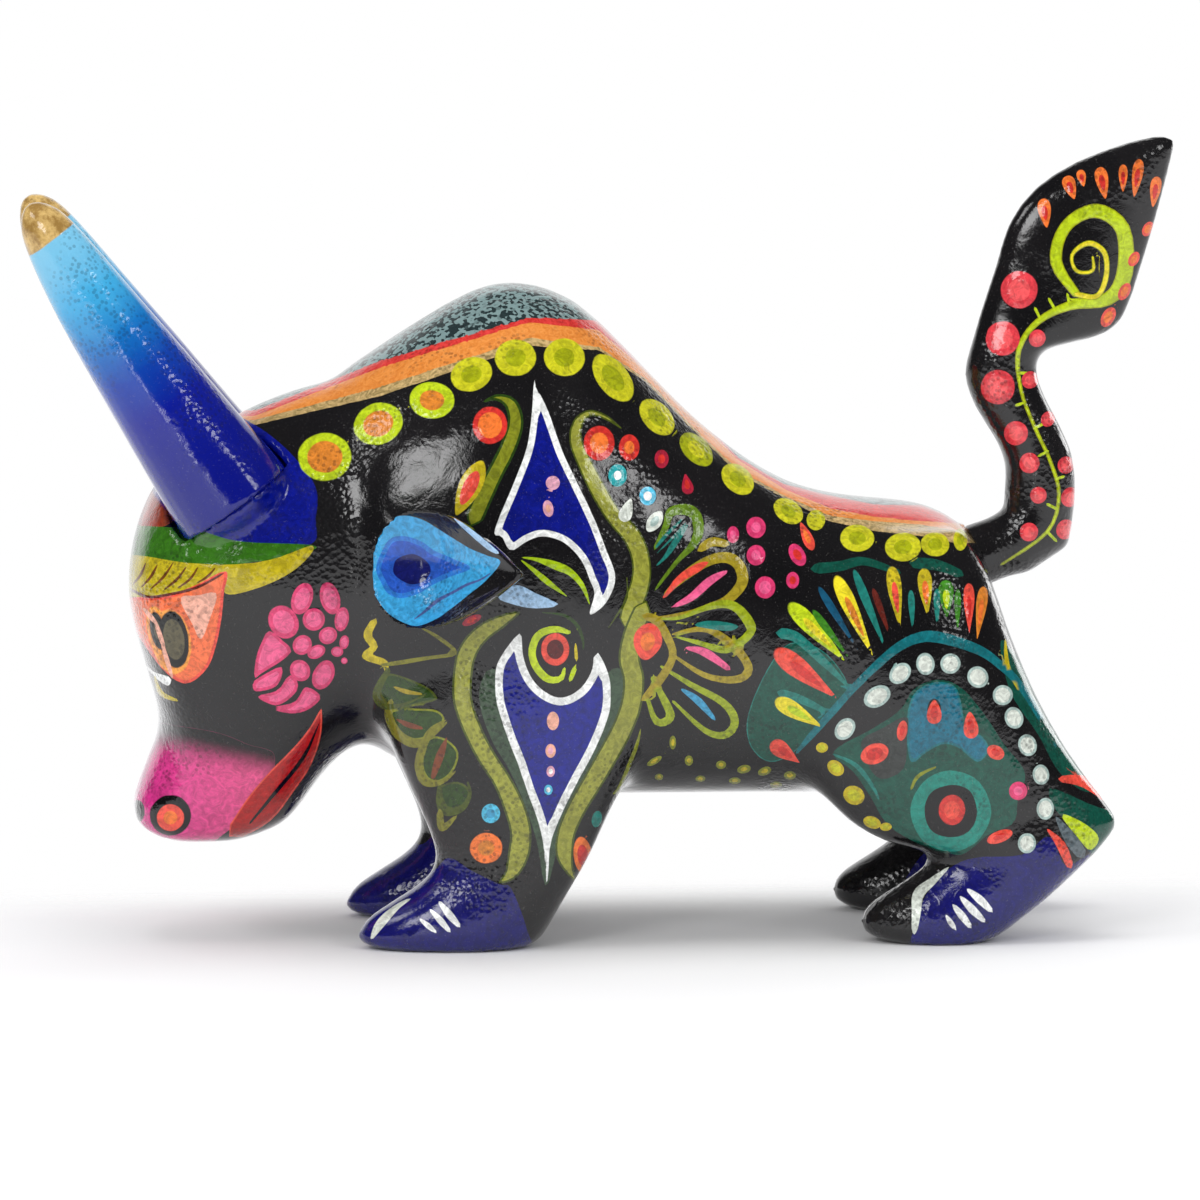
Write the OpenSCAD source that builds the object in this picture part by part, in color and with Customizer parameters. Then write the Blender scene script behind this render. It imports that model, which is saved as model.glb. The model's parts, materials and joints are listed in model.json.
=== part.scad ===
// A carved and painted wooden bull in the copal-wood manner: one block for the trunk, head and
// legs, with plug-in horns, ears and tail on round pegs. Millimetres. The bull faces -X and +Z is up;
// the origin lies on the ground under the middle of the figure. Its right side is +Y, its left side -Y.

/* [Body block] */
// Length of the trunk and head along X, without horns and tail
body_l = 216; // [180:1:260]
// Width over the shoulders
body_w = 78; // [65:1:94]
// Height of the hump above the ground
body_h = 143.5; // [120:0.5:172]

/* [Horns] */
// Length of a horn along its curve, from its seat to its tip
horn_l = 78; // [60:1:94]
// Diameter of a horn where it meets the head
horn_base_d = 27; // [20:0.5:29]
// Diameter of a horn's peg
horn_peg_d = 7; // [5:0.5:8]
// How deep a horn's peg goes into the head
horn_peg_in_head = 16; // [12:1:19]

/* [Ears] */
// Length of an ear from its seat to its tip
ear_l = 36; // [29:1:42]
// Height of an ear across its opening
ear_w = 25.5; // [20:0.5:30]
// Thickness of an ear at its thickest
ear_t = 12.5; // [10:0.5:14]
// Diameter of an ear's peg
ear_peg_d = 5; // [4:0.5:6]
// How deep an ear's peg goes into the neck
ear_peg_in_head = 12; // [9:1:14]

/* [Tail] */
// Height of the tail's tip above its seat
tail_h = 93; // [75:1:111]
// Thickness of the tail across the figure
tail_t = 13; // [10:0.5:15]
// Diameter of the tail's peg
tail_peg_d = 7; // [5:0.5:8]
// How deep the tail's peg goes into the rump
tail_peg_in_body = 18; // [14:1:22]

/* [Fits] */
// Gap all round between a peg and its socket
socket_gap = 0.1; // [0.02:0.01:0.1]
// Gap all round between a peg and the piece that it is glued into
glue_gap = 0.02; // [0.01:0.01:0.05]
// Gap between the foot of a plugged-in piece and the edge of its seat
seat_gap = 0.3; // [0.2:0.05:0.5]
// Room left beyond the end of a peg
end_gap = 1; // [0.5:0.25:2]

/* [Hidden] */
$fn = 48;

// The stations below are drawn for a block of this size, and follow the sizes above
drawn_l = 216.1;
drawn_w = 78;
drawn_h = 143.5;
kx = body_l / drawn_l;
ky = body_w / drawn_w;
kz = body_h / drawn_h;

body_sides = 32;
leg_sides = 24;
horn_sides = 28;
ear_sides = 36;
tail_sides = 28;

// ---- where the plugged-in pieces sit: a point on the block, and for the horns and the tail the
// ---- way out of it as a turn in degrees from +X towards +Z ----
horn_seat = [-81.3 * kx, 22.5 * ky, 97 * kz];
horn_turn = 126;
ear_seat = [-46.5 * kx, 30 * ky, 85 * kz];
tail_seat = [83.5 * kx, 0, 82 * kz];
tail_turn = 20;

// How far each peg reaches into its own piece
horn_peg_in_horn = 2 * horn_peg_d;
ear_peg_in_ear = ear_t * 0.45;
tail_peg_in_tail = 11;

// How far each seat is cleared outwards, so that a piece comes straight out
horn_clear = 24;
ear_clear = 16;
tail_clear = 16;
ear_foot_d = ear_peg_d + 8;
// How far an ear's rim stands out from its seat: a thicker ear stands out more, so that its back keeps its
// distance from the neck and its foot still reaches into it
ear_stand = ear_t - 0.5;
ear_foot_h = ear_t * 0.62;
tail_foot_d = tail_t + 1;

// Stands what follows on a seat: +Z runs out of the block and +X stays in the plane of the figure
module at_seat(seat, turn, side) {
    mirror([0, side < 0 ? 1 : 0, 0]) translate(seat) rotate([0, 90 - turn, 0]) children();
}
module at_horn(side) { at_seat(horn_seat, horn_turn, side) children(); }
// The ears stand out sideways and a little forwards
module at_ear(side) {
    mirror([0, side < 0 ? 1 : 0, 0]) translate(ear_seat) rotate([0, 0, -22]) rotate([-90, 0, 0]) children();
}
module at_tail() { at_seat(tail_seat, tail_turn, 1) children(); }

// ---- lofting -------------------------------------------------------------------------------
function curved_power(v, e) = sign(v) * pow(abs(v), e);
function backwards(list) = [for (i = [len(list) - 1 : -1 : 0]) list[i]];

// A Catmull-Rom curve through stations, each a list of numbers; steps points from one to the next
function blend4(a, b, c, d, t) =
    0.5 * (2 * b + (c - a) * t + (2 * a - 5 * b + 4 * c - d) * t * t + (3 * b - a - 3 * c + d) * t * t * t);
function smooth(st, steps) = [
    for (i = [0 : len(st) - 2], k = [0 : steps - 1])
        blend4(st[max(i - 1, 0)], st[i], st[i + 1], st[min(i + 2, len(st) - 1)], k / steps),
    st[len(st) - 1]
];

// A rib is a closed ring across the figure between two points of its side view. A station holds
// [upper x, upper z, lower x, lower z, half width, middle y, where the widest place lies from
// lower 0 to upper 1, squareness: 2 is an ellipse and more is boxier].
function rib(s, sides) = [
    for (i = [0 : sides - 1])
        let (t = 360 * i / sides,
             across = s[4] * curved_power(cos(t), 2 / s[7]),
             along = curved_power(sin(t), 2 / s[7]),
             k = s[6] + along * (along > 0 ? 1 - s[6] : s[6]))
        [s[2] + (s[0] - s[2]) * k, s[5] + across, s[3] + (s[1] - s[3]) * k]
];
function ribs(st, steps, sides) = [for (s = smooth(st, steps)) rib(s, sides)];

// A closed skin over rings with the same number of points, with a flat end at each end
module skin(rings) {
    n = len(rings[0]);
    count = len(rings);
    walls = [
        for (r = [0 : count - 2], i = [0 : n - 1])
            let (a = r * n + i, b = r * n + (i + 1) % n)
            each [[a, b, b + n], [a, b + n, a + n]]
    ];
    first_end = [for (i = [n - 1 : -1 : 0]) i];
    last_end = [for (i = [0 : n - 1]) (count - 1) * n + i];
    polyhedron(points = [for (r = rings) each r], faces = concat(walls, [first_end, last_end]));
}

// ---- the block: trunk, head and four legs ----------------------------------------------------
trunk_stations = [
    [86.5, 78, 87, 60, 14, 0, 0.5, 2],
    [84.5, 84, 85, 53, 23, 0, 0.5, 2],
    [80, 89.5, 80, 45, 30, 0, 0.5, 2.1],
    [73, 93.5, 73, 38, 34.5, 0, 0.5, 2.2],
    [64, 95, 64, 33, 36.5, 0, 0.5, 2.2],
    [54, 96, 54, 30, 36.5, 0, 0.5, 2.2],
    [42, 99, 42, 30, 35, 0, 0.48, 2.2],
    [30, 106, 30, 30, 34, 0, 0.46, 2.2],
    [18, 116, 18, 30, 34.5, 0, 0.44, 2.2],
    [6, 128.5, 6, 30, 36, 0, 0.42, 2.1],
    [-6, 139.5, -6, 30, 38, 0, 0.4, 2],
    [-18, 143.5, -18, 31, 39, 0, 0.4, 2],
    [-28, 141.8, -28, 33, 38.5, 0, 0.42, 2],
    [-40, 135.2, -40, 36, 36, 0, 0.44, 2.1],
    [-50, 128.8, -50, 41, 33, 0, 0.46, 2.1],
    [-57, 124, -57, 49, 27.5, 0, 0.48, 2.1],
    [-65, 116, -65, 66, 14, 0, 0.5, 2]
];
head_stations = [
    [-48, 122, -38, 58, 20, 0, 0.5, 2],
    [-60, 121.9, -46.5, 50, 28.5, 0, 0.5, 2.1],
    [-72, 118.4, -51.5, 43.5, 30, 0, 0.52, 2.1],
    [-85, 111.8, -57, 40, 31, 0, 0.56, 2.2],
    [-97, 101, -62, 35, 30, 0, 0.62, 2.4],
    [-102.8, 88, -66, 29.5, 28, 0, 0.66, 2.6],
    [-104, 74, -70, 25, 25, 0, 0.66, 2.6],
    [-100.3, 59, -75, 22.6, 21, 0, 0.6, 2.5],
    [-97.6, 47, -81, 21, 18, 0, 0.5, 2.5],
    [-101, 37, -87, 20.8, 17, 0, 0.5, 2.5],
    [-103.5, 29.5, -93, 21, 14.5, 0, 0.5, 2.4],
    [-103, 25.4, -97.5, 22, 9, 0, 0.5, 2.2]
];
front_leg_stations = [
    [-32, 92, 4, 92, 7, 21, 0.5, 2],
    [-41, 80, 10, 80, 12, 21.5, 0.5, 2.1],
    [-48, 67, 13.5, 67, 14.8, 22, 0.5, 2.2],
    [-50.5, 52, 10.5, 52, 14.8, 22.4, 0.5, 2.3],
    [-47, 41, 6.5, 41, 13, 23, 0.5, 2.3],
    [-42.3, 31, 1.6, 31, 11.2, 23.6, 0.5, 2.3],
    [-38.3, 21, -3.6, 21, 10, 24, 0.48, 2.2],
    [-40, 15.5, -6.8, 15.5, 9.8, 24, 0.46, 2.1],
    [-46.5, 11, -9.5, 11, 10.1, 24, 0.42, 2],
    [-53, 7, -11.8, 7, 10.4, 24, 0.4, 2],
    [-55.7, 3.5, -13.8, 3.5, 10.3, 24, 0.4, 2],
    [-54.5, 1.2, -16, 1.2, 9.8, 24, 0.4, 2],
    [-51.5, 0, -18.5, 0, 8.8, 24, 0.4, 2]
];
rear_leg_stations = [
    [54, 90, 78, 90, 6, 20, 0.5, 2],
    [47, 81, 83.5, 81, 11.5, 21, 0.5, 2.1],
    [41, 68, 88, 68, 15.2, 21.4, 0.5, 2.2],
    [38, 54, 94, 54, 15.8, 21.8, 0.52, 2.2],
    [40, 42, 100.8, 42, 14.2, 22.4, 0.54, 2.1],
    [44, 34, 106.6, 34, 12.6, 23, 0.58, 2],
    [49.5, 28, 111.6, 27.6, 11.6, 23.4, 0.62, 1.8],
    [52.5, 25.4, 112.4, 24.8, 11.2, 23.6, 0.62, 1.8],
    [57.5, 22.8, 110.6, 22.2, 10.8, 23.8, 0.58, 1.9],
    [65.5, 20.6, 108.6, 20, 10.3, 24, 0.54, 2],
    [70.5, 18.6, 106.6, 18, 10, 24, 0.5, 2],
    [68.5, 15.5, 103.6, 15.2, 10, 24, 0.48, 2],
    [62.5, 11.5, 99.6, 11.5, 10.2, 24, 0.44, 2],
    [57, 8, 95.6, 8, 10.4, 24, 0.42, 2],
    [55, 4.5, 91, 4.5, 10.3, 24, 0.42, 2],
    [56.5, 1.6, 87, 1.6, 9.8, 24, 0.42, 2],
    [60.5, 0, 83.5, 0, 8.8, 24, 0.42, 2]
];

module leg(stations, side) {
    mirror([0, side < 0 ? 1 : 0, 0]) skin(ribs(stations, 2, leg_sides));
}

// The swelling on the side of the head that a horn stands on: [height below the seat, inwards, radius]
root_stations = [[-20, -15, 5], [-14, -12, 8], [-9, -8.5, 10.6], [-4.5, -4.5, 12.2], [-1, -1.6, 13], [2, -0.3, 13.2], [5, 0, 13.2]];
function ring(r, x, y, z, sides) = [for (i = [0 : sides - 1])
    let (t = 360 * i / sides) [x + r * cos(t), y + r * sin(t), z]];

module horn_root(side) {
    k = horn_base_d / 27;
    at_horn(side) skin([for (s = smooth(backwards(root_stations), 2)) ring(s[2] * k, 0, s[1], s[0], leg_sides)]);
}

// The block as it is carved, before its sockets are bored
module block() {
    resize([body_l, body_w, body_h]) {
        skin(ribs(trunk_stations, 2, body_sides));
        skin(ribs(head_stations, 3, body_sides));
        for (side = [-1, 1]) {
            leg(front_leg_stations, side);
            leg(rear_leg_stations, side);
            scale([1 / kx, 1 / ky, 1 / kz]) horn_root(side);
        }
    }
}

// A round flat seat cleared outwards, with a socket bored below its middle
module seat_cut(foot_d, clear, peg_d, depth) {
    cylinder(d = foot_d + 2 * seat_gap, h = clear);
    translate([0, 0, -depth]) cylinder(d = peg_d + 2 * socket_gap, h = depth + 1);
}

module body() {
    color([0.06, 0.06, 0.07]) difference() {
        block();
        for (side = [-1, 1]) {
            at_horn(side) seat_cut(horn_base_d, horn_clear, horn_peg_d, horn_peg_in_head);
            at_ear(side) seat_cut(ear_foot_d, ear_clear, ear_peg_d, ear_peg_in_head);
        }
        at_tail() seat_cut(tail_foot_d, tail_clear, tail_peg_d, tail_peg_in_body);
    }
}

// ---- horns: [way along the horn 0 to 1, bend, radius as a share of the base radius] -------------
horn_stations = [
    [0, 0, 1], [0.05, -0.1, 0.975], [0.16, -0.2, 0.91], [0.28, -0.4, 0.845], [0.42, -0.7, 0.77],
    [0.56, -0.9, 0.69], [0.7, -1.2, 0.605], [0.82, -1.7, 0.515], [0.9, -2.1, 0.43], [0.95, -2.3, 0.34],
    [0.985, -2.4, 0.2], [1, -2.4, 0.08]
];

module horn(side) {
    rings = [for (s = smooth(backwards(horn_stations), 2))
        ring(s[2] * horn_base_d / 2, -s[1] * horn_l / 78, 0, s[0] * horn_l, horn_sides)];
    color([0.05, 0.12, 0.6]) at_horn(side) difference() {
        skin(rings);
        translate([0, 0, -1]) cylinder(d = horn_peg_d + 2 * glue_gap, h = horn_peg_in_horn + 1);
    }
}

// ---- pegs ----------------------------------------------------------------------------------
module peg(d, inside, outside) {
    color([0.78, 0.62, 0.4])
        translate([0, 0, end_gap - inside]) cylinder(d = d, h = inside + outside - 2 * end_gap);
}
module horn_peg(side) { at_horn(side) peg(horn_peg_d, horn_peg_in_head, horn_peg_in_horn); }
module ear_peg(side) { at_ear(side) peg(ear_peg_d, ear_peg_in_head, ear_peg_in_ear); }

// ---- ears: a pointed bowl on a round foot. [way along the bowl 0 to 1, half height, depth of the
// ---- back, depth of the hollow, all as shares of the ear's sizes] ---------------------------------
bowl_stations = [
    [0, 0.1, 0.2, 0.02], [0.03, 0.26, 0.42, 0.08], [0.1, 0.39, 0.68, 0.3], [0.2, 0.475, 0.88, 0.56],
    [0.31, 0.5, 0.98, 0.7], [0.44, 0.48, 1, 0.56], [0.58, 0.41, 0.92, 0.36], [0.72, 0.3, 0.76, 0.24],
    [0.84, 0.19, 0.54, 0.14], [0.94, 0.09, 0.3, 0.06], [1, 0.03, 0.12, 0.01]
];
// One closed section of the bowl: round at the back and hollow in front
function bowl_ring(s) = [
    for (i = [0 : ear_sides - 1])
        let (t = 360 * i / ear_sides, h = s[1] * ear_w * cos(t))
        [s[0] * ear_l, h,
         sin(t) > 0 ? -s[3] * ear_t * 0.8 * pow(sin(t), 1.5) : -s[2] * ear_t * pow(-sin(t), 0.9) - 0.9 * -sin(t)]
];

module ear(side) {
    color([0.2, 0.5, 0.8]) difference() {
        union() {
            bowl(side);
            at_ear(side) cylinder(d = ear_foot_d, h = ear_foot_h);
        }
        at_ear(side) translate([0, 0, -1]) cylinder(d = ear_peg_d + 2 * glue_gap, h = ear_peg_in_ear + 1);
    }
}
// The bowl lies along the neck, opening outwards and a little forwards
module bowl(side) {
    mirror([0, side < 0 ? 1 : 0, 0])
        translate(ear_seat + [-6.5, ear_stand, 0]) rotate([0, 0, 34]) rotate([-82, 0, 0])
            skin(backwards([for (s = smooth(bowl_stations, 2)) bowl_ring(s)]));
}

// ---- tail: the same kind of stations as the block's, drawn for a tail 93 high -------------------
tail_stations = [
    [90, 96, 104.5, 84, 7.4, 0, 0.5, 2],
    [90.3, 102, 106, 94.5, 7.4, 0, 0.5, 2],
    [88, 108, 105, 105.5, 7.2, 0, 0.5, 2],
    [83.5, 115, 99.5, 116.5, 6.8, 0, 0.5, 2],
    [81, 122, 97, 123.5, 6.5, 0, 0.5, 2],
    [82, 127.5, 99.5, 128, 6.5, 0, 0.5, 2],
    [83.2, 132, 110, 130.4, 6.4, 0, 0.5, 2],
    [84.6, 137, 116.4, 134.4, 6.2, 0, 0.5, 2],
    [88, 147.5, 120.7, 146.5, 5.8, 0, 0.5, 2],
    [90.6, 155.8, 123.3, 155, 5.4, 0, 0.5, 2],
    [96.6, 163.6, 125.2, 162.5, 4.9, 0, 0.5, 2],
    [106, 169.4, 126.5, 168, 4.2, 0, 0.5, 2],
    [117.6, 173.6, 127.3, 171.8, 3, 0, 0.5, 2],
    [124.5, 175, 127.6, 174, 1.2, 0, 0.5, 2]
];

module tail() {
    color([0.06, 0.06, 0.07]) difference() {
        skin(backwards(tail_rings()));
        at_tail() translate([0, 0, -1]) cylinder(d = tail_peg_d + 2 * glue_gap, h = tail_peg_in_tail + 1);
    }
}
module tail_peg() { at_tail() peg(tail_peg_d, tail_peg_in_body, tail_peg_in_tail); }

// The foot of the tail is a straight round stub; the rest follows the stations, scaled from the seat
function foot_ring(r, out) = [for (i = [0 : tail_sides - 1])
    let (t = 360 * i / tail_sides, up = r * sin(t), a = tail_turn)
    [tail_seat[0] + out * cos(a) - up * sin(a), r * cos(t), tail_seat[2] + out * sin(a) + up * cos(a)]];
function placed(p, ks) =
    [tail_seat[0] + (p[0] - 83.5) * ks, p[1] * tail_t / 13, tail_seat[2] + (p[2] - 82) * ks];
function tail_rings() = let (ks = tail_h / 93, r = tail_foot_d / 2)
    concat([foot_ring(r, 0), foot_ring(r, 3), foot_ring(r, 6), foot_ring(r * 1.1, 10)],
           [for (ring = ribs(tail_stations, 2, tail_sides)) [for (p = ring) placed(p, ks)]]);

body();
horn(-1);  // left_horn
horn(1);  // right_horn
horn_peg(-1);  // left_horn_peg
horn_peg(1);  // right_horn_peg
ear(-1);  // left_ear
ear(1);  // right_ear
ear_peg(-1);  // left_ear_peg
ear_peg(1);  // right_ear_peg
tail();
tail_peg();
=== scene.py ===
# %% [markdown]
# # A carved and painted wooden bull
# An alebrije from the copal-wood workshops: a block carved with knives, plug-in horns, ears and tail, then
# painted freehand over black and varnished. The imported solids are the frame. Each carved piece is skinned
# finely from its solid, modelled a little further, and painted with a design that is drawn flat on a sheet
# standing to the bull's left. Lengths are metres unless a name ends in _mm.

# %% setup
import json

import bmesh
import bpy
import numpy as np
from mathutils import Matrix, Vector

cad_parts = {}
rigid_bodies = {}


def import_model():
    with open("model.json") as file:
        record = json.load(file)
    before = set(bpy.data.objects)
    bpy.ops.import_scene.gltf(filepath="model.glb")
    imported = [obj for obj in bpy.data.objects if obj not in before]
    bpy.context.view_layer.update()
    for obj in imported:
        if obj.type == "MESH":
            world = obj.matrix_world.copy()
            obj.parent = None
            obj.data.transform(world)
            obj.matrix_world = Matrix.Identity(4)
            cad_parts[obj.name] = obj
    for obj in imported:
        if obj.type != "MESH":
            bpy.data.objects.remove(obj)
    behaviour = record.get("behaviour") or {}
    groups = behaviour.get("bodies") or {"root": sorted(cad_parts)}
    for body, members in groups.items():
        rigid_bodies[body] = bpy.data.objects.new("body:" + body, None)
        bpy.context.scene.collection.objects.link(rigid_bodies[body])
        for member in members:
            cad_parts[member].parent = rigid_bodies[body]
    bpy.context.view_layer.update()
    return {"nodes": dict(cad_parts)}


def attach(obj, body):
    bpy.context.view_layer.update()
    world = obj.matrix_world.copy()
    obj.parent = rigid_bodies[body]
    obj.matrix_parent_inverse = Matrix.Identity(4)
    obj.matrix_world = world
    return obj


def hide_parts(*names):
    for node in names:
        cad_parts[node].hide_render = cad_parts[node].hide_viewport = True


for leftover in list(bpy.data.objects):
    bpy.data.objects.remove(leftover, do_unlink=True)
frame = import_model()
MM = 0.001
print("CAD nodes", sorted(frame["nodes"]))

# %% [markdown]
# ## Mesh helpers
# Small tools that work on whole arrays of points. A carved block is far easier to shape as one list of
# positions and one list of normals than vertex by vertex.

# %% reading and writing points
def coords(ob):
    """The vertices of ob as an (n, 3) array."""
    co = np.empty(len(ob.data.vertices) * 3, np.float32)
    ob.data.vertices.foreach_get("co", co)
    return co.reshape(-1, 3).astype(float)


def set_coords(ob, co):
    """Moves the vertices of ob to co."""
    ob.data.vertices.foreach_set("co", np.ascontiguousarray(co, np.float32).ravel())
    ob.data.update()


def normals(ob):
    """The vertex normals of ob as an (n, 3) array."""
    no = np.empty(len(ob.data.vertices) * 3, np.float32)
    ob.data.vertices.foreach_get("normal", no)
    return no.reshape(-1, 3).astype(float)


def edges_of(ob):
    """The edges of ob as an (m, 2) array of vertex numbers."""
    e = np.empty(len(ob.data.edges) * 2, np.int32)
    ob.data.edges.foreach_get("vertices", e)
    return e.reshape(-1, 2)


def ease(x, low, high):
    """0 below low, 1 above high, and the smooth step 3t^2 - 2t^3 between."""
    t = np.clip((x - low) / (high - low), 0, 1)
    return t * t * (3 - 2 * t)


# %% smoothing
BULK_STEP = 0.56  # the counter-step that gives a smoothed skin its bulk back


def neighbour_mean(values, edges, n):
    """The mean of each vertex's neighbours' values."""
    total = np.zeros((n,) + values.shape[1:])
    count = np.bincount(edges.ravel(), minlength=n).astype(float)
    for a, b in ((0, 1), (1, 0)):
        for k in range(values.shape[1]):
            total[:, k] += np.bincount(edges[:, a], values[edges[:, b], k], minlength=n)
    return total / np.maximum(count, 1)[:, None]


def relax(ob, weight, rounds, back=0.0):
    """Smooths ob: p += 0.6 w (mean of neighbours - p), and a counter-step of strength back keeps its bulk."""
    co, e = coords(ob), edges_of(ob)
    w = np.broadcast_to(np.asarray(weight, float), (len(co),))[:, None]
    for _ in range(rounds):
        co += 0.6 * w * (neighbour_mean(co, e, len(co)) - co)
        if back:
            co -= back * w * (neighbour_mean(co, e, len(co)) - co)
    set_coords(ob, co)


# %% skinning a solid
def skinned(node, name, voxel_mm):
    """A closed, even quad skin of a CAD node, as a new object that stands for it."""
    mesh = frame["nodes"][node].data.copy()
    mesh.materials.clear()
    ob = bpy.data.objects.new(name, mesh)
    bpy.context.collection.objects.link(ob)
    bm = bmesh.new()
    bm.from_mesh(mesh)
    bmesh.ops.remove_doubles(bm, verts=bm.verts, dist=1e-6)
    bm.to_mesh(mesh)
    bm.free()
    step = ob.modifiers.new("skin", "REMESH")
    step.mode = "VOXEL"
    step.voxel_size = voxel_mm * MM
    baked = bpy.data.meshes.new_from_object(ob.evaluated_get(bpy.context.evaluated_depsgraph_get()))
    ob.modifiers.clear()
    ob.data = baked
    baked.name = name
    baked.polygons.foreach_set("use_smooth", np.ones(len(baked.polygons), bool))
    print(name, len(baked.vertices), "vertices", len(baked.polygons), "faces")
    return ob


# %% [markdown]
# ## The seats
# Horns, ears and tail stand on flat round seats with a socket below each. The skin of the block must not
# swell into them, so points near a seat are measured in the seat's own frame: height above the seat, and
# distance from the middle of the socket. Their places and sizes repeat the ones that the block is cut with.

# %% seats
def unit(v):
    """v scaled to length 1."""
    v = np.asarray(v, float)
    return v / np.linalg.norm(v)


SEATS = []
for side in (-1, 1):
    SEATS.append(dict(at=(-81.3, 22.5 * side, 97), way=(-0.5878, 0, 0.809), foot=13.8, hole=3.6, deep=16))
    SEATS.append(dict(at=(-46.5, 30 * side, 85), way=(0.3746, 0.9272 * side, 0), foot=6.8, hole=2.6, deep=12))
SEATS.append(dict(at=(83.5, 0, 82), way=(0.9397, 0, 0.342), foot=7.3, hole=3.6, deep=18))


def in_seat(co, seat):
    """Height above the seat and distance from its axis, in millimetres, and the unit way outwards from it."""
    way = unit(seat["way"])
    rel = co / MM - np.array(seat["at"])
    high = rel @ way
    out = rel - high[:, None] * way
    far = np.linalg.norm(out, axis=1)
    return high, far, out / np.maximum(far, 1e-6)[:, None]


def clear_seats(ob):
    """Sets the skin just behind the true walls: socket wall, seat floor and the wall of the clearing."""
    co = coords(ob)
    for seat in SEATS:
        high, far, out = in_seat(co, seat)
        way = unit(seat["way"])
        wall = (np.abs(far - seat["hole"]) < 1.0) & (high > -seat["deep"] - 0.6) & (high < 0.4)
        co[wall] += out[wall] * (seat["hole"] + 0.1 - far[wall])[:, None] * MM
        floor = (np.abs(high) < 0.9) & (far < seat["foot"] + 0.5)
        co[floor] -= way * (high[floor] + 0.06)[:, None] * MM
        rim = (np.abs(far - seat["foot"]) < 0.9) & (high > 0.3) & (high < 9)
        co[rim] += out[rim] * np.maximum(seat["foot"] + 0.12 - far[rim], 0)[:, None] * MM
    set_coords(ob, co)


def near_seat(co, reach_mm):
    """1 at a seat or in its socket, easing to 0 at reach_mm from them."""
    near = np.zeros(len(co))
    for seat in SEATS:
        high, far, _ = in_seat(co, seat)
        gap = np.maximum(far - seat["foot"], np.maximum(-high - seat["deep"], high - 8))
        near = np.maximum(near, 1 - ease(gap, 0.4, reach_mm))
    return near


print(len(SEATS), "seats")

# %% [markdown]
# ## Skinning the block
# A knife leaves no hard line where the head meets the neck, or a leg meets the flank. The skin starts from
# the joined solids and is relaxed most where those joins run, and not at all at the seats and the soles.

# %% the block
BODY_VOXEL_MM = 1.08
HORN_VOXEL_MM = 0.62
EAR_VOXEL_MM = 0.5
TAIL_VOXEL_MM = 0.6
body = skinned("body", "painted_body", BODY_VOXEL_MM)
co = coords(body)
keep = (1 - near_seat(co, 4.0)) * ease(co[:, 2] / MM, 1.0, 5.0)
relax(body, keep, 6)
relax(body, keep, 14, BULK_STEP)
x, y, z = coords(body).T / MM
neck = np.exp(-((x + 56) / 12) ** 2 - ((z - 74) / 52) ** 2)
haunch = np.exp(-((x - 50) / 20) ** 2 - ((z - 74) / 16) ** 2)
shoulder = np.exp(-((x + 22) / 28) ** 2 - ((z - 76) / 20) ** 2)
belly = np.exp(-((z - 32) / 9) ** 2) * (x > -30) * (x < 60)
joins = np.clip(np.maximum(np.maximum(neck, haunch), np.maximum(shoulder, belly)), 0, 1)
relax(body, keep * joins, 60)
muzzle = ease(-x, 80, 90) * ease(-z, -58, -46)
relax(body, keep * muzzle, 40, BULK_STEP)
clear_seats(body)
print("joins relaxed; box", [round(float(c), 1) for c in coords(body).min(0) / MM],
      [round(float(c), 1) for c in coords(body).max(0) / MM])

# %% horns, ears and tail
horns = {s: skinned(s + "_horn", "painted_" + s + "_horn", HORN_VOXEL_MM) for s in ("left", "right")}
ears = {s: skinned(s + "_ear", "painted_" + s + "_ear", EAR_VOXEL_MM) for s in ("left", "right")}
tail = skinned("tail", "painted_tail", TAIL_VOXEL_MM)
for ob in (*horns.values(), *ears.values()):
    relax(ob, 1.0, 8, BULK_STEP)
high, _, _ = in_seat(coords(tail), SEATS[-1])
tip = ease(coords(tail)[:, 2] / MM, 150, 172)
relax(tail, ease(high, 0.5, 5.0) * (1 - 0.75 * tip), 110, 0.5)
print("tail smoothed; top at", round(float(coords(tail)[:, 2].max()) / MM, 1), "mm")

# %% [markdown]
# ## Paint colours
# Acrylics straight from the tube and a few mixes. They are written as screen values from 0 to 255, because
# that is how a colour is picked, and turned into linear light for the shader.

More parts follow.
